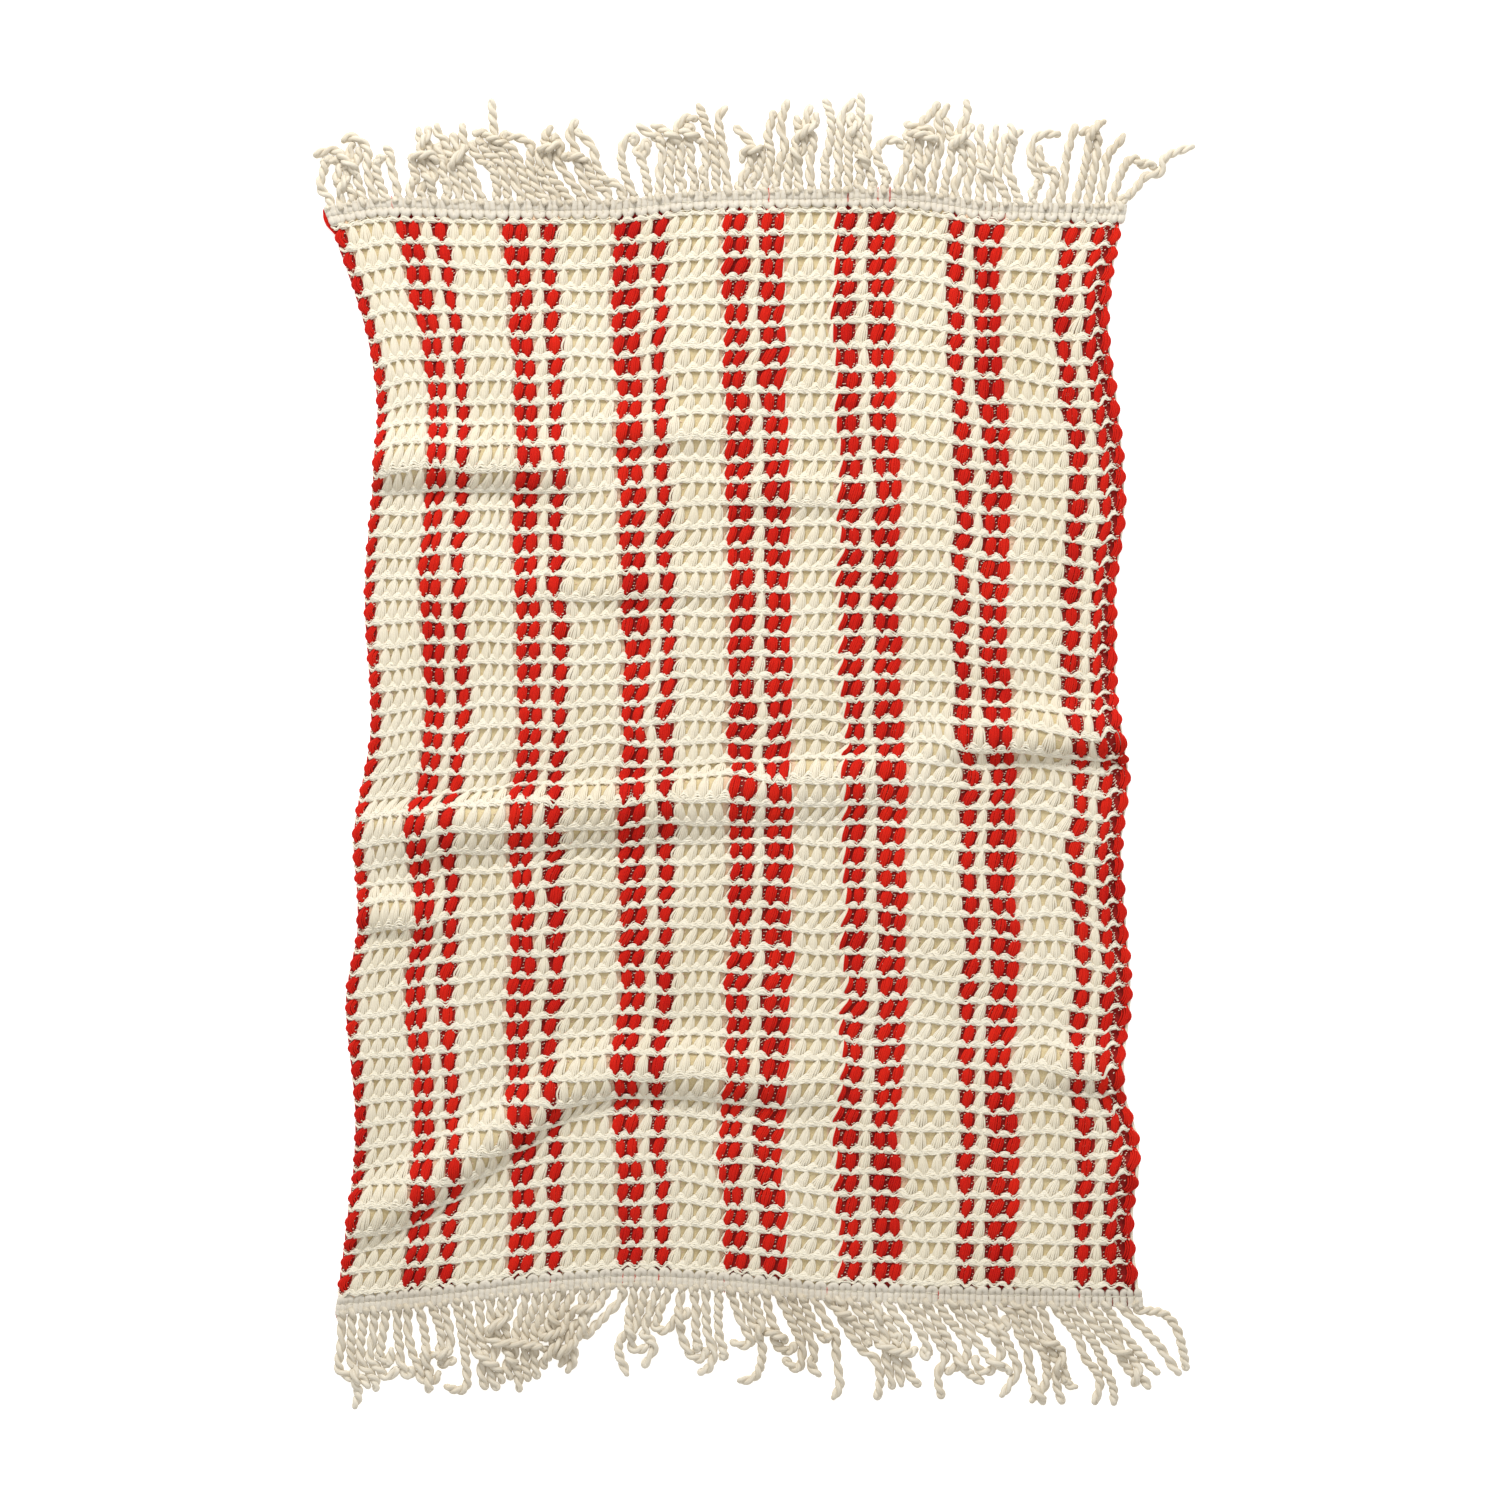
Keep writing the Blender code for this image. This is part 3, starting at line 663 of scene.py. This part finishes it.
def knuckles(yarns, rib, rng):
    """The picks beside a rib's long one: short in the gaps between two floats, long over the cream cloth."""
    gaps = np.arange(1, int(CLOTH_FLOATS)).astype(float)
    first_yarns = [int(gap) * ENDS_PER_FLOAT for gap in gaps]
    cream = np.array([not is_red(yarn) and not is_red(yarn - 1) for yarn in first_yarns])
    inner = ~cream & (gaps < gaps[-1])
    for places, picks in ((gaps[inner], RED_PICKS), (gaps[-1:], LAST_PICKS), (gaps[cream], CREAM_PICKS)):
        for away, half, top, radius in picks:
            if rib in (0, RIBS - 1) and away * (rib - 1) > 0:
                continue
            short_picks(yarns, rib, places[:, None], away, half, top, radius, rng)
    for start, stop in cream_runs():
        for away, top, radius, sway in CREAM_RUNS:
            if rib == RIBS - 1 and away > 0:
                continue
            reach = rng.uniform(0.10, 0.30, 2)
            u = np.linspace(start - reach[0], stop + reach[1], int((stop - start + 0.4) * 7) + 2)[None, :]
            ends = np.clip(1 - np.minimum(u - u[0, 0], u[0, -1] - u) / 0.35, 0, 1)
            r = rib + away * (1 - 0.3 * ends) + 0.5 * rib_wave(u, rib) + sway * wave(u)
            r = r + 0.012 * np.cos(u * 9.0 + any_phase(rng))
            h = top + 0.18 * wave(u) - 1.6 * ends ** 2
            yarns.lay(u, r, h, radius * (1 + 0.08 * np.cos(u * 13.0 + rib)))


def short_picks(yarns, rib, gaps, away, half, top, radius, rng):
    """One short pick in each of the gaps."""
    t = np.linspace(-1, 1, 7)[None, :]
    leaning = lean(gaps, np.full_like(gaps, float(rib)))
    u = gaps + half * t + rng.normal(0, 0.02, gaps.shape) + 1.4 * leaning * away
    r = rib + 0.045 * wave(half * t) + rib_wave(gaps, rib) * 0.4
    r = r + away * (1 - 0.25 * t * t) + rng.normal(0, 0.008, gaps.shape) - 0.10 * leaning * t
    low = min(3.1, top - 0.9)
    h = low + (top + rng.normal(0, 0.10, gaps.shape) - low) * (1 - np.abs(t) ** 2.6)
    yarns.lay(u, r, h, radius * (1 - 0.20 * np.abs(t) ** 3), sides=6)


def stray_threads():
    """Fine loose threads of weft that wander along each rib."""
    for group, yarns, rng in in_groups("weft_strays", RIBS, size=15, seed=700):
        for rib in group:
            for away, height in STRAYS:
                u = np.linspace(0.3, CLOTH_FLOATS - 0.85, int(CLOTH_FLOATS * 10))[None, :]
                r = rib + away + rib_wave(u, rib)
                for length, share in ((0.37, 0.020), (0.61, 0.026), (1.13, 0.034), (2.9, 0.030)):
                    r = r + share * np.cos(2 * math.pi * u / length + any_phase(rng))
                ripple = 0.25 * np.cos(2 * math.pi * u / 0.47 + any_phase(rng))
                radius = STRAY_RADIUS * (1 + 0.25 * np.cos(7.3 * u))
                yarns.lay(u, np.clip(r, -0.2, RIBS - 0.8), height + 0.35 * wave(u) + ripple, radius, sides=4)


# ticks of weft on the shoulders of a float: place across from its middle, place along, height
TICKS = [(0.115, 0.455, 4.40), (0.205, 0.400, 4.45), (0.290, 0.335, 4.20), (0.375, 0.255, 3.70),
         (0.450, 0.170, 3.15)]
# and in the gap between two floats
GAP_TICKS = [(0.00, 0.02), (-0.07, 0.15), (0.07, -0.14), (-0.10, 0.28), (0.11, -0.28), (0.06, 0.22),
             (-0.06, -0.22)]
# where the ribs pinch the left edge
SELVEDGE_TICKS = [(0.18, 0.40), (0.42, 0.42), (0.66, 0.38), (0.30, 0.47), (0.55, 0.47), (0.20, -0.40),
                  (0.45, -0.42), (0.68, -0.38), (0.33, -0.48), (0.58, -0.47)]
# and in the wide gap between the last two floats, in two slanting lines
EDGE_TICKS = [(-0.22, 0.34), (-0.14, 0.24), (-0.06, 0.14), (0.02, 0.04), (0.10, -0.06), (-0.06, -0.04),
              (0.04, -0.14), (0.13, -0.24), (0.21, -0.34)]


def red_nearby(column):
    """Whether a float, or the gap on either side of it, has red yarns."""
    return any(is_red(yarn) for yarn in range(column * ENDS_PER_FLOAT - 2, (column + 1) * ENDS_PER_FLOAT + 2))


def tick_pieces():
    """The ticks of weft that show beside the red floats and along both edges, coloured with painted shade."""
    columns = np.array([c for c in range(int(CLOTH_FLOATS)) if red_nearby(c)])[:, None].astype(float)
    for group, yarns, rng in in_groups("weft_ticks_painted_shade", RIBS - 1, size=8, seed=500, material="tick_painted_shade"):
        rows = np.array(group)[None, :] + 0.5
        tilt = lean(columns + 0.5, rows)
        for across, along, height in TICKS:
            for side in (-1, 1):
                for way in (-1, 1):
                    u = columns + 0.5 + side * across + tilt * way * along / 0.5
                    r = rows + way * along + 0.05 * side * rng.normal(0, 1.0, tilt.shape)
                    scatter(yarns, u, r, height, 0.75 if along > 0.3 else 0.36, rng, 0.00068, 0.00048)
        for across, along in GAP_TICKS:
            scatter(yarns, columns + 1.0 + across, rows + along, 2.55, 0.5, rng, 0.00060, 0.00040)
        for across, along in SELVEDGE_TICKS:
            r = rows[:1] + along
            scatter(yarns, np.full_like(r, across), r, 3.6, 0.9, rng, 0.00066, 0.00050)
        for across, along in EDGE_TICKS:
            r = rows[:1] + along
            scatter(yarns, np.full_like(r, LAST_COLUMN + across), r, 3.7, 0.9, rng, 0.00070, 0.00055)


def scatter(yarns, u, r, height, share, rng, half_long, half_wide):
    """Ticks at a share of the given places, each a little off its own."""
    u, r = (x + rng.normal(0, 0.014, x.shape) for x in np.broadcast_arrays(u, r))
    chosen = rng.random(u.shape) < share
    u, r = u[chosen], r[chosen]
    points, ups = cloth_point(u, r, height * MM)
    beside, _ = cloth_point(u + 0.05, r + 0.01, height * MM)
    yarns.beads(points, ups, beside - points, half_long, half_wide)


def back_ribs():
    """The weft on the underside."""
    yarns = Yarns()
    for rib in ROWS:
        u = np.linspace(0.05, CLOTH_FLOATS - 0.05, int(CLOTH_FLOATS * 4))[None, :]
        h = np.where(u > LAST_COLUMN, 0.90, 1.35 - 0.45 * wave(u))
        yarns.lay(u, np.full_like(u, rib + 0.5), h, BACK_RIB_RADIUS)
    yarns.piece("weft_underside", MATERIALS["weft"], "cream_cotton")


def ground_cloth():
    """The plain-woven ground between the floats: one thin closed sheet, coloured with painted shade."""
    edges = [0.0]
    for first, last in RED_YARNS:
        edges += [first / ENDS_PER_FLOAT, (last + 1) / ENDS_PER_FLOAT]
    edges = sorted({min(edge, CLOTH_FLOATS) for edge in edges} | {CLOTH_FLOATS})
    stops, owners = [0.0], []
    for start, stop in zip(edges[:-1], edges[1:]):
        steps = max(1, int(round((stop - start) / 0.40)))
        stops += list(np.linspace(start, stop, steps + 1)[1:])
        red = start >= RED_YARNS[-1][0] / ENDS_PER_FLOAT or is_red(int((start + stop) / 2 * ENDS_PER_FLOAT))
        owners += [1] * steps if red else [2] + [0] * (steps - 2) + [2] * (steps > 1)
    end_rows = FIRST_RIB / (FLAT_SIZE[1] * ROW_SHARE)
    r = np.concatenate([np.linspace(-end_rows, -0.2, 5)[:-1], np.linspace(-0.2, RIBS - 0.8, 4 * RIBS),
                        np.linspace(RIBS - 0.8, RIBS - 1 + end_rows, 5)[1:]])
    u, r = np.meshgrid(np.minimum(stops, CLOTH_FLOATS - 0.22), r, indexing="ij")
    pressed = np.clip(np.maximum(-0.25 - r, r - RIBS + 0.75) / 0.3, 0.0, 1.0)
    floor = np.interp(u, stops, [2.05 if owner == 1 else 2.85 for owner in owners + owners[-1:]])
    high = (floor + 0.45 * np.cos(math.pi * r) ** 2) * (1 - pressed) + 1.9 * pressed
    low = 1.45 * (1 - pressed) + 0.9 * pressed
    upper, _ = cloth_point(u, r, high * MM)
    lower, _ = cloth_point(u, r, low * MM)
    n, m = u.shape
    index = np.arange(n * m).reshape(n, m)
    quads = np.stack([index[:-1, :-1], index[1:, :-1], index[1:, 1:], index[:-1, 1:]], axis=-1).reshape(-1, 4)
    under = quads[:, ::-1] + n * m
    rim = np.concatenate([index[:, 0], index[-1, 1:], index[::-1, -1][1:], index[0, ::-1][1:-1]])
    after = np.roll(rim, -1)
    walls = np.stack([rim, rim + n * m, after + n * m, after], axis=-1)
    yarns = Yarns()
    yarns.add(np.concatenate([upper.reshape(-1, 3), lower.reshape(-1, 3)]), [quads, under, walls])
    piece = yarns.piece("ground_cloth", MATERIALS["ground_cream_painted_shade"], "cream_cotton")
    piece.data.materials.append(MATERIALS["ground_red_painted_shade"])
    piece.data.materials.append(MATERIALS["ground_edge_painted_shade"])
    red = np.repeat(np.array(owners), m - 1).astype(np.int32)
    marks = np.concatenate([red, red, np.zeros(len(walls), dtype=np.int32)])
    piece.data.polygons.foreach_set("material_index", marks)
    return piece


# ---- the fringe
CORDS = 66
BUNCH = 6
CORD_RADIUS = 0.0030
PLY_RADIUS = 0.00180
PLY_AWAY = 0.00142          # from the cord's middle to a ply's
TWIST_LENGTH = 0.0145
LEG_HIGH = SEAM_THICK + 0.0019
# Chosen cords, as (number from the left, bend across and out, tip across and out), in millimetres.
TOP_CORDS = [
    (0, -5, 16, -7, 35), (2, -7, 14, -2, 36), (4, -3, 24, -18, 35), (6, -4, 14, -9, 28), (7, 4, 18, 9, 41),
    (9, -2, 16, 2, 45), (11, -5, 20, -1, 43), (13, -8, 24, -17, 29), (15, -7, 26, -16, 35),
    (17, -10, 28, -24, 41), (19, -12, 18, -20, 39), (21, -12, 22, -20, 39), (22, -10, 20, -6, 43),
    (24, -15, 16, -27, 42), (25, -12, 24, -9, 41), (26, -3, 24, 3, 40), (28, -1, 24, -6, 51),
    (30, 0, 18, -7, 43), (31, 3, 18, 5, 45), (33, -3, 32, -12, 43), (34, 6, 16, 5, 41), (36, 3, 16, -9, 43),
    (37, 5, 22, 4, 51), (38, 6, 22, 5, 40), (40, -2, 30, 7, 41), (41, 3, 22, 7, 51), (42, 3, 22, 5, 51),
    (43, 6, 30, 4, 50), (44, 2, 14, 9, 45), (46, 1, 16, 3, 42), (47, 5, 24, 5, 51), (48, 7, 28, 4, 45),
    (49, 2, 30, 10, 49), (50, 3, 26, 12, 49), (51, 5, 22, 5, 41), (52, 4, 26, 5, 52), (53, 7, 24, 6, 48),
    (54, 5, 22, 9, 41), (55, -6, 20, -14, 41), (57, -9, 18, -3, 43), (58, 0, 20, 5, 53),
    (59, 4, 18, -6, 27), (60, 4, 24, 5, 43), (61, 4, 28, 7, 47), (62, 4, 30, 5, 45), (63, 4, 22, 16, 37),
    (64, 8, 26, 24, 26), (65, 11, 16, 38, 33)]
BOTTOM_CORDS = [
    (0, -2, 26, 8, 48), (1, 0, 28, 5, 50), (2, -1, 24, 6, 44), (4, -6, 26, 2, 42), (5, -3, 26, 3, 44),
    (6, 2, 28, 4, 48), (7, 4, 30, 4, 47), (8, 8, 22, 1, 37), (10, 9, 30, 4, 54), (11, 7, 30, 7, 48),
    (12, 7, 26, 11, 47), (13, -4, 24, 3, 49), (14, 1, 30, 6, 51), (16, -9, 26, -3, 44),
    (18, -8, 26, -11, 47), (20, -11, 24, -13, 46), (22, -12, 26, -21, 45), (24, -9, 18, -23, 40),
    (26, -9, 26, -16, 46), (28, -6, 22, 5, 41), (29, -1, 30, 13, 41), (30, 0, 36, 9, 34),
    (32, 1, 32, 7, 42), (33, 8, 22, 12, 38), (34, 5, 18, 15, 33), (35, 4, 28, 15, 52), (36, 4, 30, 18, 32),
    (37, 13, 28, 13, 46), (38, 12, 30, 3, 43), (39, 6, 22, 17, 26), (40, 12, 30, 23, 52),
    (41, 16, 20, 19, 31), (42, 14, 26, 28, 50), (43, 17, 20, 24, 37), (44, 20, 24, 22, 50),
    (46, 8, 30, 10, 48), (47, 12, 22, 16, 31), (48, 16, 30, 9, 52), (49, 14, 30, 30, 42),
    (50, 16, 22, 27, 42), (51, 22, 24, 24, 38), (52, 11, 18, 20, 15), (53, 16, 28, 13, 52),
    (54, 16, 24, 15, 46), (55, 16, 24, 21, 54), (57, 13, 28, 18, 57), (58, 16, 38, 12, 46),
    (59, 19, 24, 29, 50), (60, 20, 28, 29, 52), (61, 22, 22, 38, 43), (62, 17, 26, 32, 42),
    (63, 17, 24, 28, 36), (64, 22, 24, 33, 34), (65, 18, 8, 37, 32)]
LAY_POINTS = 30
ROOT_INSIDE = 0.0022        # how far inside the heading a cord begins
GATHER = 5.5                # how far neighbouring tips lean together and apart, in millimetres


def cord_routes(end):
    """A first route for every cord of one end, before they are laid against each other."""
    chosen = np.array(TOP_CORDS if end == "top" else BOTTOM_CORDS, dtype=float)
    rng = seeded(7, end)
    way = 1.0 if end == "top" else -1.0
    t = np.linspace(0, 1, LAY_POINTS)
    routes = np.zeros((CORDS, LAY_POINTS, 3))
    for i in range(CORDS):
        bend_x, bend_y, tip_x, tip_y = (np.interp(i, chosen[:, 0], chosen[:, k]) for k in range(1, 5))
        if i not in chosen[:, 0]:
            bend_x, tip_x = bend_x + rng.uniform(-8, 8), tip_x + rng.uniform(-12, 12)
            tip_y = tip_y + rng.uniform(-8, 4)
        x0, y0, _ = end_point(end, (i + 0.5) / CORDS, ROOT_INSIDE)
        across = smooth_curve([(0.0, 0.0), (0.12, 0.35 * bend_x * 0.24), (0.5, bend_x), (1.0, tip_x)], t)
        out = smooth_curve([(0.0, 0.0), (0.12, 0.26 * bend_y), (0.5, bend_y), (1.0, tip_y)], t)
        out = out + ROOT_INSIDE / MM * t
        across = across + GATHER * math.sin(2 * math.pi * i / 4.6 + 0.8 * math.sin(0.5 * i)) * t * t
        swing = rng.uniform(0.35, 0.85) * np.sin(2 * math.pi * t * rng.uniform(0.9, 1.9) + any_phase(rng))
        hook = rng.normal(0.0, 0.7) if rng.random() > 0.3 else rng.choice([-1.0, 1.0]) * rng.uniform(1.6, 2.8)
        turn = swing * np.sqrt(t) + hook * np.clip((t - 0.60) / 0.40, 0, 1) ** 1.4
        step_x, step_y = np.diff(across), np.diff(out)
        turn = turn[1:]
        longer = 1.10 / max(0.75, float(np.cos(swing * np.sqrt(t)).mean()))
        across = np.concatenate([[0.0], np.cumsum(step_x * np.cos(turn) - step_y * np.sin(turn))]) * longer
        out = np.concatenate([[0.0], np.cumsum(step_x * np.sin(turn) + step_y * np.cos(turn))]) * longer
        routes[i, :, 0] = x0 + across * MM
        routes[i, :, 1] = y0 + way * out * MM
        layer = (0.0, 7.0, 3.5, 10.5)[i % 4] + rng.uniform(-1.0, 2.0)
        routes[i, :, 2] = LEG_HIGH + max(0.0, layer) * MM * np.clip(t * 3, 0, 1)
    return routes


def lay_cords(routes):
    """Let the cords sink to the floor and onto each other, at the length that each one has."""
    rest = np.linalg.norm(np.diff(routes, axis=1), axis=2)
    length = rest.sum(axis=1, keepdims=True)
    rest = np.repeat(length / (LAY_POINTS - 1), LAY_POINTS - 1, axis=1)
    held = routes[:, :2].copy()
    touch = 2 * CORD_RADIUS * 0.97
    for step in range(130):
        routes[..., 2] -= 0.00022
        push = np.zeros_like(routes)
        hits = np.zeros(routes.shape[:2])
        for k in range(1, 11):
            gap = routes[k:, :, None, :] - routes[:-k, None, :, :]
            far = np.linalg.norm(gap, axis=3)
            close = np.clip(touch - far, 0.0, None)
            gap = gap / np.maximum(far, 1e-9)[..., None] * (0.5 * close)[..., None]
            push[k:] += gap.sum(axis=2)
            push[:-k] -= gap.sum(axis=1)
            hits[k:] += (close > 0).sum(axis=2)
            hits[:-k] += (close > 0).sum(axis=1)
        routes += push / np.maximum(hits, 1.0)[..., None]
        bend = 0.5 * (routes[:, :-2] + routes[:, 2:]) - routes[:, 1:-1]
        routes[:, 1:-1] += 0.10 * bend
        for _ in range(3):
            for first in (0, 1):
                a, b = routes[:, first:-1:2], routes[:, first + 1::2]
                span = b - a
                far = np.linalg.norm(span, axis=2, keepdims=True)
                move = 0.5 * (far - rest[:, first::2][..., None]) / np.maximum(far, 1e-9) * span
                routes[:, first:-1:2] += move
                routes[:, first + 1::2] -= move
            routes[:, :2] = held
        routes[:, 2:, 2] = np.maximum(routes[:, 2:, 2], CORD_RADIUS)
    return routes


def finer(points, count):
    """The same rows of points, smoothly, with more of them."""
    n, m, _ = points.shape
    at = np.linspace(0, m - 1, count)
    i = np.clip(at.astype(int), 0, m - 2)
    t = (at - i)[None, :, None]
    slope = np.gradient(points, axis=1)
    p0, p1, s0, s1 = points[:, i], points[:, i + 1], slope[:, i], slope[:, i + 1]
    return ((1 + 2 * t) * (1 - t) ** 2 * p0 + t * (1 - t) ** 2 * s0
            + t * t * (3 - 2 * t) * p1 - t * t * (1 - t) * s1)


def twisted(yarns, middles):
    """One yarn per cord, folded at the tip so that its two halves twist round each other."""
    n = len(middles)
    tangent = normalised(np.gradient(middles, axis=1))
    side = normalised(np.cross(tangent, np.array([0.0, 0.0, 1.0])))
    over = np.cross(side, tangent)
    run = travelled(middles)
    uneven = 0.55 * np.sin(run * 190 + np.arange(n)[:, None] * 1.7)
    number = np.arange(n)[:, None] + round(1000 * abs(float(middles[0, 0, 0])))
    twist = TWIST_LENGTH * (1 + 0.16 * np.sin(number * 2.4))
    angle = (2 * math.pi * run / twist + uneven + number * 1.9)[..., None]
    ends = np.clip(run[:, -1:] - run, 0, 0.004)[..., None] / 0.004
    away = PLY_AWAY * (0.80 + 0.20 * ends) + 0.00045 * np.clip(1 - run / 0.004, 0, 1)[..., None]
    spread = np.cos(angle) * side + np.sin(angle) * over
    out = middles + away * spread
    back = (middles - away * spread)[:, ::-1]
    tip, last_side, last_way = middles[:, -1:], (away * spread)[:, -1:], tangent[:, -1:]
    turn = np.linspace(0, math.pi, 7)[1:-1][None, :, None]
    cap = tip + np.cos(turn) * last_side + np.sin(turn) * last_way * PLY_AWAY
    path = np.concatenate([out, cap, back], axis=1)
    path[..., 2] = np.maximum(path[..., 2], PLY_RADIUS * 0.95)
    lengths = np.linspace(0, 40, path.shape[1])[None, :] + 2.3 * np.arange(n)[:, None]
    radius = PLY_RADIUS * (1 + 0.07 * np.sin(lengths) + 0.05 * np.sin(2.7 * lengths))
    yarns.tubes(path, straight_up(path), radius, sides=9, carry=True)


def fringe_pieces(end):
    """The cords of one end, six to a piece, as the frame's nodes have them."""
    routes = finer(lay_cords(cord_routes(end)), 62)
    for bunch in range(CORDS // BUNCH):
        yarns = Yarns()
        twisted(yarns, routes[bunch * BUNCH:(bunch + 1) * BUNCH])
        piece = yarns.piece(f"{end}_cords_{bunch + 1:02d}", MATERIALS["fringe"], "fringe_cotton", True)
        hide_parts(f"{end}_fringe_{bunch + 1:02d}")


LEG_RADIUS = 0.00212
LEG_DEEP = HEADING_DEEP - 0.0030        # from the heading's edge to where a loop starts to turn
THREAD_RADIUS = 0.00028


def heading_pieces(end):
    """The U-turns of the fringe yarn over the cloth's end, and the thread that binds them."""
    rng = seeded(41, end)
    yarns = Yarns()
    legs = 0.25 / CORDS
    insets = np.linspace(-0.0002, LEG_DEEP, 14)
    turn = np.linspace(0, math.pi, 11)[1:-1]
    paths = []
    for i in range(CORDS + 1):
        left, right = (i - 0.5) / CORDS + legs, (i + 0.5) / CORDS - legs
        left, right = max(left, 0.009), min(right, 0.998)
        middle, half = 0.5 * (left + right), 0.5 * (right - left)
        deep = rng.uniform(0.0018, 0.0027)
        points = [(left, inset) for inset in insets]
        points += [(middle - half * math.cos(a), LEG_DEEP + deep * math.sin(a)) for a in turn]
        points += [(right, inset) for inset in insets[::-1]]
        sway = rng.normal(0, 0.00018)
        high = rng.normal(0, 0.00025)
        row = []
        for across, inset in points:
            x, y, z = end_point(end, across, inset)
            pinch = 0.0010 * math.exp(-((inset - 0.0063) / 0.0008) ** 2)
            bulge = 0.0006 * math.exp(-((inset - LEG_DEEP - 0.0015) / 0.0012) ** 2)
            row.append((x + sway * math.sin(inset * 400), y, z + LEG_HIGH + high - pinch + bulge))
        paths.append(row)
    paths = np.array(paths)
    around = np.arange(paths.shape[1])[None, :] * 0.9 + rng.uniform(0, 6, (len(paths), 1))
    thick = LEG_RADIUS * (1 + 0.045 * np.sin(around) + 0.035 * np.sin(2.3 * around))
    yarns.tubes(paths, straight_up(paths), thick, sides=9, flat=0.85)
    heading = yarns.piece(f"{end}_heading_yarn", MATERIALS["heading"], "fringe_cotton", True)
    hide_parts(f"{end}_heading")
    thread = Yarns()
    for inset, phase in ((0.0060, 0.0), (0.0066, math.pi)):
        across = np.linspace(0.003, 0.997, CORDS * 12)
        row = []
        for s in across:
            swing = math.sin(2 * math.pi * s * CORDS + phase)
            x, y, z = end_point(end, s, inset + 0.0002 * swing)
            over = math.cos(4 * math.pi * (s * CORDS - 0.25))
            row.append((x, y, z + LEG_HIGH + 0.00070 + 0.00050 * over))
        thread.strand(row, THREAD_RADIUS)
    piece = thread.piece(f"{end}_binding", MATERIALS["thread"], "binding_thread")
    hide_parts(f"{end}_binding_thread")


# where red warp ends show between the legs of a heading, as shares of its width
RED_ENDS = {"top": (0.09, 0.562, 0.656, 0.700, 0.709),
            "bottom": (0.283, 0.371, 0.387, 0.417, 0.50, 0.632, 0.768, 0.932)}
RED_END_RADIUS = 0.00030
# how the red selvedge ends beside the headings, as (x, y) in millimetres
CORNER_BUNDLES = {
    "top": [(-255.5, 324), (-260, 329), (-263.2, 332.5), (-265.2, 337), (-265.5, 341.5), (-264, 343.7)],
    "bottom": [(-253, -342), (-254.5, -347), (-256, -351.5), (-257.2, -355.5), (-257.2, -359)]}
BUNDLE_RADIUS = 0.00062


def loose_red(end):
    """The red warp's ends at a heading: a few between its legs, and the selvedge's beside its left corner."""
    rng = seeded(61, end)
    yarns = Yarns()
    for share in RED_ENDS[end]:
        groove = round(share * 2 * CORDS) / (2 * CORDS)
        row = []
        for inset in np.linspace(0.0082, -0.0012, 9):
            x, y, z = end_point(end, groove, inset)
            row.append((x + rng.normal(0, 0.00012), y, z + LEG_HIGH + 0.00062))
        yarns.strand(row, RED_END_RADIUS)
    t = np.linspace(0, 1, 14)
    places = np.linspace(0, 1, len(CORNER_BUNDLES[end]))
    x, y = (smooth_curve(list(zip(places, values)), t) * MM for values in zip(*CORNER_BUNDLES[end]))
    for k in range(5):
        aside = (k - 2) * 0.00062 * (1 - 0.3 * t) + rng.normal(0, 0.0001, len(t))
        high = 0.0030 + 0.0005 * math.cos(k * 2.4) - 0.0008 * abs(k - 2) / 2
        z = lift(x, y) + high * (1 - 0.35 * t)
        row = np.stack([x + CENTRE_X + aside, y + CENTRE_Y + 0.3 * aside, z], axis=1)
        yarns.strand(row, BUNDLE_RADIUS)
    yarns.piece(f"{end}_red_ends", MATERIALS["red"], "red_cotton")


# ---- the studio
CAMERA_HIGH = 2.6
CAMERA_ASIDE = 0.0032       # to the right of the cloth's own axis
FRAME_WIDE = 0.9495         # how much of the floor the camera sees, across
SENSOR = 36.0
FLOOR_SIZE = 40.0
# the soft lights, aimed at the mat: name, place, size and power
LAMPS = [("key", (-0.35, 2.0, 1.5), 0.9, 50.0), ("fill", (0.2, -0.4, 2.4), 1.6, 13.5)]


def studio():
    """The pale floor, the world and the lights."""
    bpy.ops.mesh.primitive_plane_add(size=FLOOR_SIZE, location=(0.0, 0.0, -0.0002))
    floor = bpy.context.object
    floor.name = "floor"
    material = bpy.data.materials.new("floor")
    material.use_nodes = True
    set_inputs(material.node_tree.nodes["Principled BSDF"], {
        "Base Color": (0.90, 0.90, 0.90, 1.0), "Roughness": 0.9,
        "Emission Color": (1.0, 1.0, 1.0, 1.0), "Emission Strength": 0.55})
    floor.data.materials.append(material)
    world = bpy.data.worlds.new("studio")
    world.use_nodes = True
    set_inputs(world.node_tree.nodes["Background"], {"Color": (1.0, 1.0, 1.0, 1.0), "Strength": 0.45})
    bpy.context.scene.world = world
    for name, place, size, power in LAMPS:
        light = bpy.data.lights.new(name, "AREA")
        light.size = size
        light.energy = power
        lamp = bpy.data.objects.new(name, light)
        lamp.location = place
        lamp.rotation_euler = (-Vector(place)).to_track_quat("-Z", "Y").to_euler()
        bpy.context.scene.collection.objects.link(lamp)
    bpy.context.scene.view_settings.view_transform = "Standard"


def camera():
    """Straight above the mat, with the mat's top end at the top of the picture."""
    data = bpy.data.cameras.new("camera")
    data.sensor_width = SENSOR
    data.lens = SENSOR * CAMERA_HIGH / FRAME_WIDE
    eye = bpy.data.objects.new("camera", data)
    eye.location = (CAMERA_ASIDE + CENTRE_X, CENTRE_Y, CAMERA_HIGH)
    bpy.context.scene.collection.objects.link(eye)
    bpy.context.scene.camera = eye


def main():
    camera()
    studio()
    ground = ground_cloth()
    warp_pieces()
    rib_pieces()
    tick_pieces()
    stray_threads()
    back_ribs()
    for end in ("top", "bottom"):
        fringe_pieces(end)
        heading_pieces(end)
        loose_red(end)


main()
